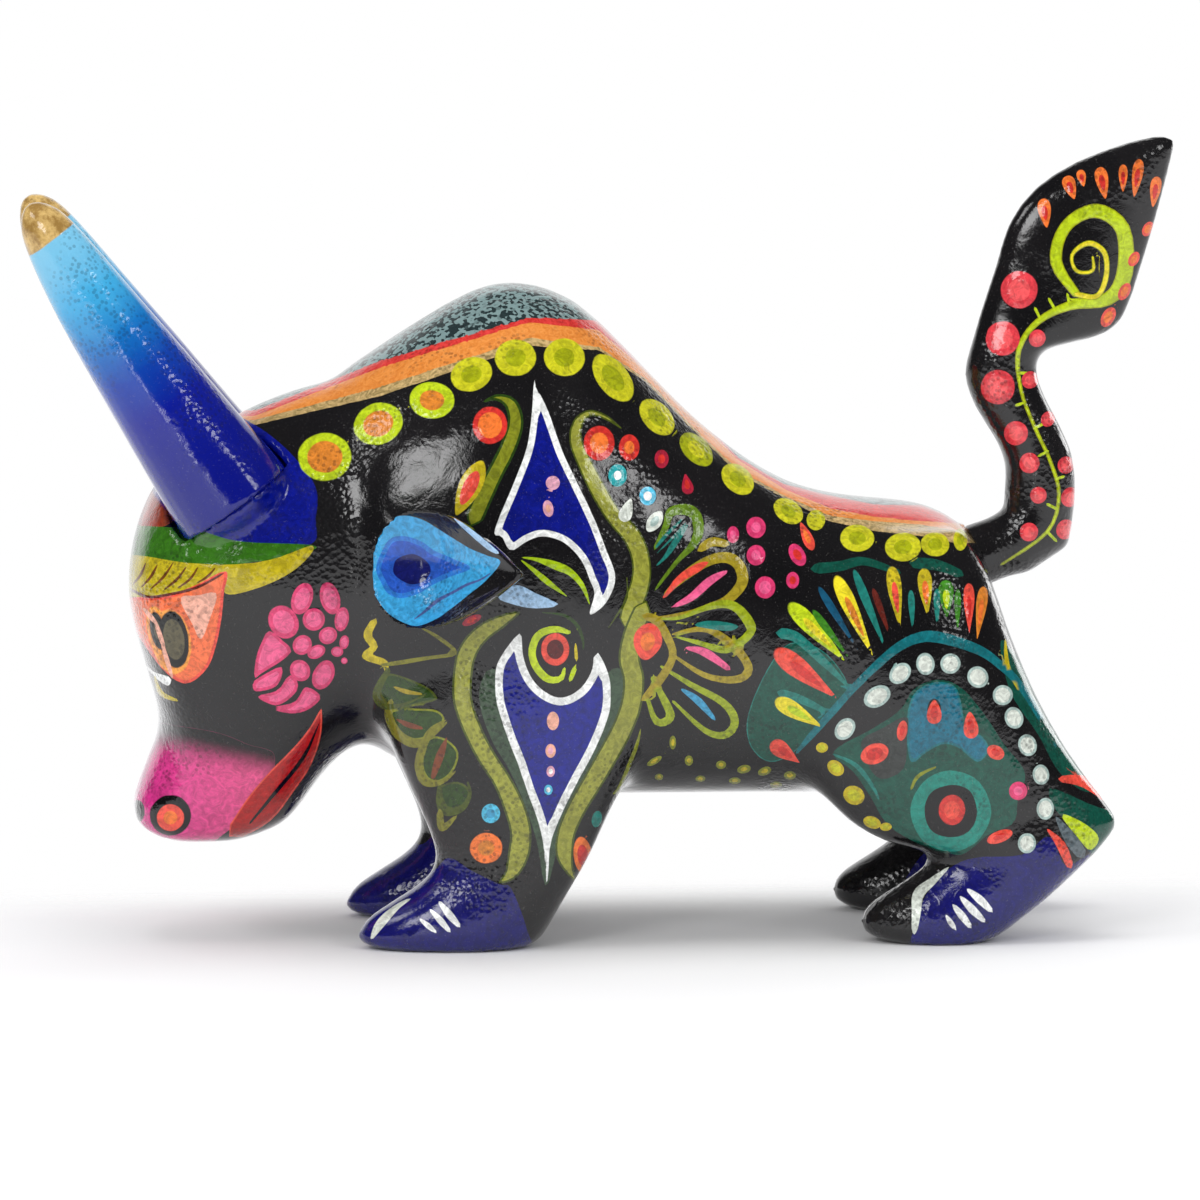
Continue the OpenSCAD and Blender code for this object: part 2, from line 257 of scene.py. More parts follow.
# %% palette
PALETTE = dict(
    lime=(186, 208, 26), lime2=(160, 190, 18), lime3=(150, 165, 30), lemon=(232, 215, 40),
    yellow=(196, 194, 30), yellowd=(158, 165, 14), amber=(214, 128, 42), orange=(238, 118, 48),
    red=(208, 48, 42), redd=(180, 26, 24), coral=(232, 78, 62), crimson=(170, 30, 55), rust=(120, 60, 30),
    mustard=(196, 176, 28), mustardo=(158, 140, 34), mustardl=(190, 172, 24), brown=(110, 62, 20),
    brownr=(98, 34, 26), teal=(40, 160, 165), tealg=(30, 120, 110), tealb=(16, 108, 116),
    tealc=(14, 104, 128), tealr=(20, 130, 115), white=(240, 242, 240), bone=(218, 224, 214),
    greyw=(168, 190, 184), sky=(80, 190, 225), skyd=(60, 150, 190), skyw=(160, 195, 228),
    pink=(232, 92, 140), pinkd=(214, 56, 108), pinkw=(225, 165, 185), pinkr=(222, 62, 72),
    pinkr2=(240, 88, 92), peach=(236, 172, 150), eyelight=(244, 158, 62), pupil=(88, 82, 60),
    eyeorange=(238, 112, 66), blueg=(20, 80, 110), green=(60, 130, 30), greend=(12, 76, 62),
    leaf=(52, 112, 20), leaf2=(96, 128, 26), leafd=(40, 66, 16), olive=(128, 134, 30), oliveg=(70, 82, 18),
    olivel=(120, 118, 34), khaki=(150, 152, 58), ink=(6, 6, 8), maroon=(88, 20, 20), royal=(4, 18, 132),
    blue=(8, 20, 128), blue2=(14, 24, 132), navy=(20, 20, 104), greygreen=(58, 78, 58),
    charcoal=(52, 56, 54), greyblue=(92, 104, 110), magenta=(205, 38, 132), earsky=(58, 160, 214),
    earmid=(46, 120, 205), earblue=(38, 88, 190), earnavy=(16, 22, 96), earslate=(72, 92, 150))


def linear(rgb):
    """Screen values 0-255 to linear light: (s/12.92) below 0.04045, else ((s + 0.055)/1.055)^2.4."""
    s = np.asarray(rgb, float) / 255
    return np.where(s < 0.04045, s / 12.92, ((s + 0.055) / 1.055) ** 2.4)


print(len(PALETTE), "colours")

# %% [markdown]
# ## The design on its sheet
# Painted motifs are easiest to draw flat. The sheet stands along the figure, 35 mm to its left: u runs from
# head to tail and v upwards, in millimetres. Each motif is an outline to fill, a brush stroke with a half
# width at each point, or a spot. A layer covers the ones with lower numbers.
#
# - outline: layer, fill, edge colour, edge width, points. "a>b" shades from colour a to b along u. Where a
#   last (high, low, slope) is given, the fill comes out of the black from v = high to v = low.
# - stroke: layer, colour, edge colour, edge width, points (u, v, half width).
# - spot: u, v, half length, half width, turn, taper, pinch, rim colour, heart colour, heart's share.

# %% outlines and strokes
OUTLINES = [
    (0, "royal", "royal", 0,
     [(-84, 117), (-77.5, 115), (-70, 109), (-64.5, 101.5), (-64.5, 94.5), (-65, 89.5), (-73, 89),
      (-81.5, 89.5), (-89.5, 91.5), (-96.5, 96), (-100, 101), (-93.5, 112)]),
    (0, "greygreen", "greygreen", 0,
     [(-27, 62), (-29.5, 56), (-27, 47), (-23, 40), (-19.5, 32), (-17, 24), (-15, 14.5), (-12, 24.5),
      (-8, 34), (-3, 42.5), (1, 50.5), (2.5, 57.5), (0, 62), (-7, 55.5), (-14.5, 55), (-21, 58)]),
    (0, "greend", "greend", 0,
     [(47.5, 43), (56, 48), (62, 52), (65, 56.5), (70, 58.5), (75, 57), (80, 51.5), (85, 44),
      (89.5, 38), (88, 32), (87, 27), (81.5, 24.5), (76.5, 20.5), (73, 20.5), (64.5, 23.5), (59, 27.5),
      (56, 32.5), (52, 38.5)]),
    (0, "navy", "navy", 0,
     [(-39, 18.5), (-36, 21), (-31, 18), (-25, 15), (-22.5, 14), (-19, 4.5), (-18, -3), (-37, -5),
      (-57, -4.5), (-60, 4.5), (-52, 11.5), (-42, 17)]),
    (0, "navy", "navy", 0,
     [(73.5, 17.5), (79, 19.5), (89, 20), (95, 24), (98.5, 17.5), (104, 19.5), (93, 5.5), (88.5, -5),
      (65.5, -5), (66.5, 7.5), (69, 13)]),
    (0, "greend", "greend", 0,
     [(95, 34.5), (103.5, 31), (112, 27), (105.5, 19.5), (101, 25), (96.5, 29.5)]),
    (1, "leaf", "leaf", 0,
     [(-105, 93.5), (-101.5, 93.5), (-90, 92.5), (-81, 90), (-65, 89), (-67.5, 87), (-74, 86),
      (-83, 85), (-92.5, 85.5), (-105, 87)]),
    (2, "mustardl", "mustardl", 0,
     [(-106, 87), (-92.5, 85.5), (-83, 85), (-74, 86), (-65, 89), (-67.5, 85), (-74, 81),
      (-83.5, 78.5), (-85, 82.5), (-90.5, 80), (-96.5, 78.5), (-106, 79)]),
    (3, "eyeorange", "coral", 0.65,
     [(-105.8, 78), (-101.6, 78.2), (-96.6, 78.4), (-90.4, 80.6), (-83.8, 83.6), (-84.2, 79),
      (-84.8, 73.6), (-86.2, 66.8), (-88.2, 62.4), (-91.8, 59.6), (-95, 60.4), (-98.6, 64),
      (-102.8, 70.2), (-105.8, 76.2)]),
    (4, "peach", "peach", 0,
     [(-93.6, 77.8), (-89.8, 78.4), (-85.8, 78.8), (-87.2, 73.6), (-89.2, 69), (-91.2, 72.6)]),
    (1, "pink", "pinkd", 0.65,
     [(-74.6, 70.6), (-71.6, 68.4), (-69.8, 66.4), (-71.6, 64.4), (-76.4, 61.4), (-77.8, 60.6),
      (-77.4, 64.8), (-76.2, 68.2)]),
    (2, "pink", "pinkd", 0.65,
     [(-77.4, 60.2), (-72.6, 62.8), (-71.8, 61.6), (-73.2, 58.6), (-77.4, 57.6), (-78.2, 59)]),
    (3, "pink", "pinkd", 0.65,
     [(-77, 56.6), (-72.8, 57.8), (-70.4, 61), (-68.6, 59.6), (-69, 57.2), (-72.6, 54.6), (-75.8, 55.4)]),
    (4, "pink", "pinkd", 0.65,
     [(-74.2, 54), (-69.2, 55.2), (-66.8, 58.4), (-63.6, 56.2), (-66.6, 53.4), (-70.4, 52.8)]),
    (5, "white", "white", 0,
     [(-101.4, 64), (-99.2, 62), (-95.8, 60.8), (-96.4, 59), (-99.2, 61)]),
    (1, "blue", "white", 1.4,
     [(-17.5, 124), (-18, 117), (-19, 110), (-21.5, 103), (-26, 92), (-24.5, 90.5), (-22.5, 87.5),
      (-19, 89.5), (-15.5, 90.5), (-11, 89), (-7.5, 85.5), (-5.5, 81), (-4.5, 78), (-5.5, 73.5),
      (-2, 76), (0, 81.5), (-2, 87.5), (-4.5, 94), (-8, 101.5), (-11.5, 109), (-14.5, 117.5),
      (-17, 122.5)]),
    (1, "blue2", "white", 1.65,
     [(-20.5, 69.5), (-23, 67), (-25.5, 63), (-26, 58.5), (-25.5, 54), (-23.5, 47.5), (-21, 41),
      (-19, 35), (-17, 29.5), (-15.5, 23), (-15, 15), (-14.5, 18), (-14, 24), (-11.5, 30.5),
      (-8, 37.5), (-4.5, 44), (-1.5, 51.5), (-1, 56.5), (-1.5, 60.5), (-3, 64), (-4.5, 65.5),
      (-5, 61.5), (-7.5, 57.5), (-11.5, 55.5), (-15.5, 57), (-18.5, 60.5), (-20, 65)]),
    (3, "skyw", "skyw", 0,
     [(-25.6, 77.4), (-21.6, 80), (-16.8, 78), (-12, 75.6), (-15.4, 75), (-19.6, 75.2)]),
    (0, "greend", "tealg", 0.2,
     [(36.5, 66), (44.5, 65.5), (50.5, 58), (48, 53.5), (40, 44), (33.5, 41), (29, 45.5), (29.5, 53.5)]),
    (0, "greend", "greend", 0,
     [(84, 67), (89, 61.5), (98, 49), (106, 39), (103.5, 33.5), (97, 38), (92.5, 46), (86, 56)]),
    (0, "redd>rust", "redd>rust", 0,
     [(-103, 99), (-99.5, 101.5), (-95, 96.5), (-96.5, 93.5), (-102.5, 93.5)]),
    (1, "tealc", "tealb", 0.45,
     [(64.5, 40.5), (63.5, 47), (64, 53), (66, 56.5), (70, 58), (74, 57), (75.5, 53), (76.5, 48),
      (80, 46), (81.5, 43), (79, 40.5), (75, 43.5), (71.5, 44.5), (67.5, 42.5)]),
    (2, "charcoal", "charcoal", 0,
     [(53.5, 45), (58, 48), (63.5, 50.5), (63.5, 45.5), (63, 39.5), (59, 37), (56, 38.5)]),
    (1, "lime", "lime", 0,
     [(97.4, 28.8), (102.4, 26.8), (105.8, 23.6), (104, 20.8), (101, 23.8)]),
    (0, "magenta>pink", "magenta>pink", 0,
     [(-103, 51), (-92.5, 50), (-85, 48.5), (-79, 46), (-73.5, 43.5), (-76.5, 33.5), (-83, 28),
      (-89.5, 24), (-99, 24), (-105.5, 28), (-105.5, 35.5), (-105, 44)], (48.5, 41.5, -0.24)),
    (1, "leafd", "oliveg", 0.45,
     [(-49.5, 61), (-46, 60.5), (-40.5, 58), (-38.5, 55.5), (-42, 54.5), (-47, 53.5), (-50, 55),
      (-51, 58)]),
    (1, "leafd", "olive", 0.45,
     [(-48.5, 53), (-44, 53.5), (-38.5, 53), (-37, 50.5), (-41, 47), (-45.5, 47), (-48.5, 49.5)]),
    (2, "leafd", "olive", 0.45,
     [(-40.5, 47), (-37, 47), (-34, 44), (-35, 40), (-38, 37.5), (-41, 38.5), (-42, 42.5)]),
    (1, "leafd", "oliveg", 0.45,
     [(-38, 36.5), (-34, 37.5), (-31.5, 35.5), (-32.5, 32.5), (-36, 31.5), (-37.5, 33.5)]),
    (1, "tealr", "greend", 0.35,
     [(73, 39), (79.5, 36.5), (82.5, 29.5), (79.5, 23), (73.5, 20.5), (67, 23), (64, 30), (67, 36.5)]),
    (2, "ink", "ink", 0,
     [(73.5, 35.5), (77.5, 34), (79, 29.5), (77.5, 25.5), (73.5, 24), (69, 25.5), (67.5, 30), (69, 34)]),
]
STROKES = [
    (1, "redd", "coral", 0.35, [(-63.5, 53.5, 0.2), (-65, 48.5, 1.5), (-68, 43, 2.7),
     (-72.5, 37.5, 3.4), (-77, 32, 3.5), (-82, 27.5, 1.9)]),
    (2, "ink", "ink", 0, [(-64, 50.5, 0.1), (-67.5, 43, 0.4), (-74, 35, 0.4), (-79, 29, 0.2)]),
    (5, "mustard", "mustard", 0, [(-99.2, 61, 0.2), (-97.8, 57.4, 0.5), (-94.4, 55.8, 0.3)]),
    (5, "brownr", "brownr", 0, [(-104, 79.8, 0.3), (-100.4, 78.2, 0.3), (-95.4, 78.8, 0.3),
     (-89.8, 80.2, 0.3), (-84.2, 83.2, 0.2)]),
    (3, "brown", "brown", 0, [(-100.8, 85.8, 0.1), (-102, 83, 0.3), (-103.8, 80.8, 0.1)]),
    (4, "brown", "brown", 0, [(-98.2, 85.6, 0.1), (-99.8, 82.6, 0.3), (-102, 80.2, 0.1)]),
    (3, "brown", "brown", 0, [(-95, 85.6, 0.1), (-97.2, 82.4, 0.3), (-100, 79.8, 0.1)]),
    (4, "brown", "brown", 0, [(-92, 85, 0.1), (-94.2, 82, 0.3), (-97.2, 79.6, 0.1)]),
    (3, "brown", "brown", 0, [(-89.6, 84.8, 0.1), (-91.4, 82, 0.3), (-94.2, 80, 0.1)]),
    (4, "brown", "brown", 0, [(-86, 84.4, 0.1), (-87.8, 82.4, 0.3), (-90.2, 81, 0.1)]),
    (2, "olive", "leafd", 0.55, [(-28.5, 119.5, 0.2), (-25.5, 120.5, 0.7), (-22.5, 119, 1.4),
     (-21.5, 115, 1.7), (-23, 110, 1.8), (-26, 104, 1.8), (-28.5, 99, 2), (-30.5, 94.5, 2)]),
    (2, "khaki", "oliveg", 0.35, [(1.5, 113.5, 0.1), (-2, 116, 0.5), (-5.5, 117, 0.7), (-8, 115, 1.1),
     (-8.5, 111, 1.4), (-6.5, 106, 1.6), (-4, 101, 1.8), (-0.5, 95, 1.8), (3.5, 90.5, 2),
     (5.5, 85.5, 2), (5.5, 80.5, 2.1), (4, 76, 2.2), (3, 72, 2.2)]),
    (3, "khaki", "oliveg", 0.45, [(-21, 74, 0.5), (-25, 72, 1.5), (-29, 69.5, 1.9), (-32, 65.5, 2.1),
     (-33, 60.5, 2.1), (-33, 55, 2.1), (-31, 49, 2), (-28, 43, 2), (-24.5, 37.5, 2), (-22, 32, 2.3),
     (-20.5, 26.5, 2.3), (-21, 21.5, 2.3), (-22.5, 17.5, 1.5), (-25, 15.5, 0.4)]),
    (3, "khaki", "oliveg", 0.45, [(6, 74.5, 2), (4, 69.5, 2.2), (3, 64, 2.3), (4, 59.5, 2.3),
     (3.5, 54, 2.3), (1.5, 48.5, 2.3), (-1.5, 43, 2.3), (-5, 37, 2.2), (-8, 32, 2.1), (-10.5, 26.5, 2),
     (-11, 21.5, 1.9), (-10, 18, 1), (-8.5, 15.5, 0.3)]),
    (4, "olive", "olive", 0, [(5.5, 48.5, 0.1), (4.5, 44.5, 0.4), (1, 36, 0.4), (-0.5, 34.5, 0.2)]),
    (3, "lime2", "lime2", 0, [(-20.5, 86, 0.1), (-17, 85.5, 0.4), (-12.5, 84, 0.9), (-9.5, 82.5, 0.7),
     (-7, 79.5, 0.5), (-5.5, 75.5, 0.1)]),
    (4, "lime2", "lime2", 0, [(-20.5, 85.5, 0.1), (-18, 83.5, 0.4), (-14.5, 80.5, 0.6),
     (-10.5, 77.5, 0.1)]),
    (4, "leafd", "leafd", 0, [(-16, 74, 0.1), (-11.5, 73.5, 0.3), (-8.5, 71.5, 0.4), (-7, 68, 0.3),
     (-7, 65.5, 0.1)]),
    (4, "oliveg", "oliveg", 0, [(2.5, 81.5, 0.1), (2.5, 77, 0.2), (0.5, 73.5, 0.2), (-1.5, 70.5, 0.1)]),
    (4, "lime", "lime", 0, [(-10, 69.6, 0.4), (-13, 70.4, 0.7), (-16.6, 69.2, 0.8), (-18, 65.8, 0.8),
     (-17.2, 62.4, 0.8), (-14.6, 59.6, 0.8), (-11.8, 59.6, 0.6), (-11, 61.8, 0.3)]),
    (5, "mustard", "mustard", 0, [(-8.6, 67, 0.3), (-8.4, 63.6, 0.4)]),
    (5, "lime", "lime", 0, [(-8.8, 61.8, 0.6), (-9.8, 59.2, 0.4)]),
    (5, "mustardo", "mustardo", 0, [(6.5, 73, 0.8), (9, 72, 1), (11.5, 68, 0.9), (12.5, 64.5, 0.8),
     (11, 61, 0.9), (8, 57, 0.9), (6, 55, 0.5)]),
    (4, "leaf2", "leaf2", 0, [(8.5, 87.5, 0.4), (11, 92.5, 0.7), (12, 95.5, 1), (15.5, 96, 1.2),
     (17.5, 94.5, 1.2), (18, 91, 1.1), (16.5, 88, 0.8), (14, 85.5, 0.5), (11.5, 82.5, 0.4),
     (8.5, 78.5, 0.2)]),
    (5, "tealg", "tealg", 0, [(15.5, 92.5, 0.3), (13, 89, 0.7), (11, 86, 0.4), (9, 84, 0.2)]),
    (5, "tealg", "tealg", 0, [(14.5, 94, 0.2), (11, 90.5, 0.4), (8.5, 87.5, 0.2)]),
    (5, "mustardo", "mustardo", 0, [(18.5, 87.5, 0.9), (21, 89, 1), (24, 88.5, 0.8)]),
    (3, "mustardo", "mustardo", 0, [(10.5, 77.5, 0.3), (15.5, 82, 1), (20.5, 85, 1.1),
     (24.5, 85.5, 1.2), (27, 83.5, 1.2), (27.5, 80, 1.2), (24.5, 76.5, 1), (20.5, 75, 0.7),
     (15.5, 73.5, 0.5), (8, 72.5, 0.2)]),
    (4, "coral", "coral", 0, [(10.5, 77, 0.3), (14, 81, 0.8), (18, 83.5, 0.9), (20, 84.5, 0.3)]),
    (4, "pink", "pink", 0, [(24, 82.5, 0.4), (20.5, 80.5, 0.9), (16.5, 77, 0.8), (12.5, 75, 0.3)]),
    (4, "lime3", "lime3", 0, [(7.5, 72.5, 0.2), (13.5, 72.5, 0.4), (19, 74.5, 0.6), (23.5, 75.5, 0.9),
     (26.5, 74.5, 1), (29, 71.5, 1.1), (29.5, 69.5, 0.9), (27, 67, 0.9), (23.5, 65.5, 0.8),
     (18.5, 67, 0.5), (13, 68.5, 0.2)]),
    (5, "tealg", "tealg", 0, [(17.5, 71, 0.4), (20.5, 71, 0.9), (24.5, 70.5, 0.9), (26.5, 70.5, 0.3)]),
    (4, "mustardo", "mustardo", 0, [(12.5, 69, 0.3), (20, 70, 0.7), (26.5, 65.5, 0.9), (29, 61, 0.9),
     (26, 59, 0.8), (19.5, 60, 0.6), (12.5, 64.5, 0.3)]),
    (5, "pink", "pink", 0, [(15.5, 66, 0.3), (19.5, 65, 0.9), (24.5, 61.5, 0.6)]),
    (4, "lime3", "lime3", 0, [(10, 62, 0.3), (16.5, 58, 0.6), (23.5, 54, 0.8), (26, 50, 0.9),
     (24, 47, 0.8), (19.5, 48, 0.6), (12.5, 54.5, 0.3)]),
    (5, "skyd", "skyd", 0, [(14.5, 57, 0.3), (18, 54.5, 0.8), (21.5, 50.5, 0.4)]),
    (5, "lime3", "lime3", 0, [(8, 59.5, 0.4), (10.5, 55, 0.8), (12, 51, 0.9), (9, 50, 0.7), (7, 55, 0.4)]),
    (4, "mustard", "mustard", 0, [(-52, 72.5, 0.7), (-53.5, 69.5, 0.9), (-52, 67, 0.7), (-54, 65, 0.7),
     (-50, 63.5, 0.8), (-49.5, 61.5, 0.3)]),
    (5, "olivel", "olivel", 0, [(-42, 71, 0.2), (-38.5, 69, 0.4), (-34.5, 65.5, 0.4), (-40, 64.5, 0.4),
     (-46.5, 63.5, 0.5), (-50.5, 63, 0.3)]),
    (5, "oliveg", "oliveg", 0, [(-49, 62, 0.6), (-51, 58.5, 0.8), (-51.5, 56, 0.9), (-49.5, 54, 0.7),
     (-45.5, 54.5, 0.3), (-41, 56.5, 0.2)]),
    (4, "olivel", "olivel", 0, [(-48.5, 55, 0.7), (-49, 52, 0.9), (-47, 48, 1), (-43.5, 46, 1),
     (-40.5, 47, 0.6), (-36.5, 50.5, 0.3)]),
    (5, "olivel", "olivel", 0, [(-36.5, 51, 0.2), (-40, 48.5, 0.7), (-42, 44, 0.9), (-42.5, 40.5, 0.9),
     (-41, 37.5, 0.9), (-37.5, 37.5, 0.5), (-34.5, 40, 0.2)]),
    (4, "rust", "rust", 0, [(-36.5, 47, 0.2), (-38, 43, 0.9), (-39.5, 38.5, 0.5)]),
    (4, "oliveg", "oliveg", 0, [(-38, 37, 0.4), (-38, 33.5, 0.8), (-37, 31, 0.8), (-33.5, 31.5, 0.7),
     (-31.5, 34.5, 0.4), (-32, 37.5, 0.2)]),
    (5, "olivel", "olivel", 0, [(-38, 31, 0.7), (-37.5, 27.5, 0.8), (-34.5, 30, 0.3)]),
    (1, "tealb", "tealb", 0, [(39.5, 43, 0.3), (42.5, 46.5, 0.7), (47, 51.5, 0.8), (51, 56, 0.8),
     (56.5, 61.5, 0.9), (62, 66, 1), (67.5, 68, 1.2), (73.5, 67, 1.2), (80, 64.5, 1), (84, 61.5, 0.9),
     (88, 57.5, 0.8), (92.5, 50.5, 0.7), (96.5, 43.5, 0.4)]),
    (2, "tealg", "tealg", 0, [(47.5, 42.5, 0.2), (52.5, 40, 0.5), (56, 35.5, 0.4), (57.5, 32.5, 0.2)]),
    (3, "olive", "olive", 0, [(64.5, 34.5, 0.3), (66, 37.5, 0.4), (70, 39.5, 0.2)]),
    (1, "coral", "coral", 0, [(97.5, 36.5, 0.7), (102, 36, 1.2), (106, 33.5, 1.1), (109, 30, 0.3)]),
    (2, "greyblue", "greyblue", 0, [(96.5, 28, 0.3), (99.5, 23.5, 1.4), (102, 20, 1.2)]),
    (4, "coral", "coral", 0, [(94.5, 25.5, 0.2), (97.5, 22, 1), (99.5, 17.5, 0.8)]),
    (1, "greend", "greend", 0, [(89, 56, 0.2), (95, 46.5, 0.8), (100.5, 38, 0.2)]),
    (1, "mustard", "mustard", 0, [(85, 67, 0.2), (85.5, 61.5, 0.5), (88, 56, 0.2)]),
    (1, "tealg", "tealg", 0, [(36, 69, 1.2), (39.5, 68, 1.1), (45, 63, 0.9), (50.5, 57.5, 0.3)]),
    (1, "tealg", "tealg", 0, [(36, 56, 0.9), (40.5, 54.5, 0.9), (45.5, 52, 0.6)]),
    (1, "greend", "greend", 0, [(43.5, 83, 1.2), (49, 83.5, 1.1), (54, 84.5, 0.9), (61.5, 82, 0.6)]),
    (1, "greend", "greend", 0, [(65, 84, 1.2), (70, 83.5, 1.2), (75, 81.5, 0.9)]),
    (1, "bone", "bone", 0, [(72.8, 17.4, 0.2), (69, 14.2, 0.9), (66.2, 11.6, 1.2), (65.8, 7.6, 1),
     (65.4, 3.4, 0.6)]),
    (2, "white", "white", 0, [(72.4, 6.8, 0.3), (73.4, 5.2, 0.6), (74.4, 3.8, 0.3)]),
    (3, "white", "white", 0, [(74, 9, 0.4), (75.8, 6.8, 0.8), (77.6, 4.4, 0.5)]),
    (4, "white", "white", 0, [(75.6, 10.8, 0.4), (78, 8.2, 0.9), (80.6, 5.6, 0.5)]),
    (5, "white", "white", 0, [(77.2, 12.4, 0.4), (79.8, 10.2, 0.9), (82.2, 7.8, 0.5)]),
    (1, "bone", "bone", 0, [(-52.8, 3.8, 0.4), (-50.8, 7, 1), (-47.4, 10.4, 0.6), (-44.4, 12.2, 0.2)]),
    (2, "white", "white", 0, [(-42.2, 7.6, 0.3), (-40.6, 6.2, 0.6), (-39, 4.8, 0.3)]),
    (3, "white", "white", 0, [(-40, 9.6, 0.3), (-38, 7.4, 0.7), (-36, 5, 0.4)]),
    (4, "white", "white", 0, [(-38, 11.2, 0.4), (-36, 8.6, 0.8), (-34, 6.2, 0.5)]),
    (3, "rust", "rust", 0, [(-47.2, 51.2, 0.2), (-44.8, 50, 0.6), (-41.8, 49.2, 0.3)]),
    (3, "mustardo", "mustardo", 0, [(-47.8, 58.2, 0.2), (-45.2, 57.2, 0.5), (-41.8, 56.6, 0.2)]),
    (1, "lime", "yellowd", 0.25, [(84, 83.5, 0.3), (94, 90.5, 0.4), (96.5, 98.5, 0.4),
     (94.5, 106, 0.4), (91, 113.5, 0.4), (88, 121.5, 0.4), (87.5, 130, 0.6), (91.5, 136, 0.7),
     (98.5, 139.5, 1), (107, 141, 1.5), (110.5, 146.5, 1.8), (110, 156, 1.6), (104, 160, 1.5),
     (97.5, 156.5, 1.3), (95.5, 149, 1.3), (100, 142, 0.9)]),
    (2, "lemon", "yellowd", 0.15, [(100, 142, 0.6), (104.5, 141.5, 0.6), (106.5, 146, 0.6),
     (106, 151, 0.6), (102.5, 153, 0.6), (99, 150.5, 0.4), (100, 147, 0.4), (103.5, 147, 0.4),
     (103.5, 150, 0.3)]),
    (3, "lime", "lime", 0, [(92, 137, 0.3), (91, 139, 0.3)]),
    (3, "lime", "lime", 0, [(95.5, 138.5, 0.3), (94, 141, 0.3)]),
    (3, "lime", "lime", 0, [(98.5, 140, 0.3), (98, 142, 0.3)]),
    (3, "lime", "lime", 0, [(94, 90.5, 0.3), (96, 88.5, 0.3)]),
    (3, "lime", "lime", 0, [(96, 95.5, 0.3), (94, 96.5, 0.3)]),
    (3, "lime", "lime", 0, [(96, 102, 0.3), (97.5, 102.5, 0.3)]),
    (3, "lime", "lime", 0, [(94, 108, 0.3), (92, 107, 0.3)]),
    (3, "lime", "lime", 0, [(91, 113, 0.3), (93, 114, 0.3)]),
    (3, "lime", "lime", 0, [(88.5, 118.5, 0.3), (87, 118, 0.3)]),
    (3, "lime", "lime", 0, [(87.5, 125, 0.3), (89.5, 125, 0.3)]),
    (3, "lime", "lime", 0, [(88, 131, 0.3), (86, 132, 0.3)]),
]

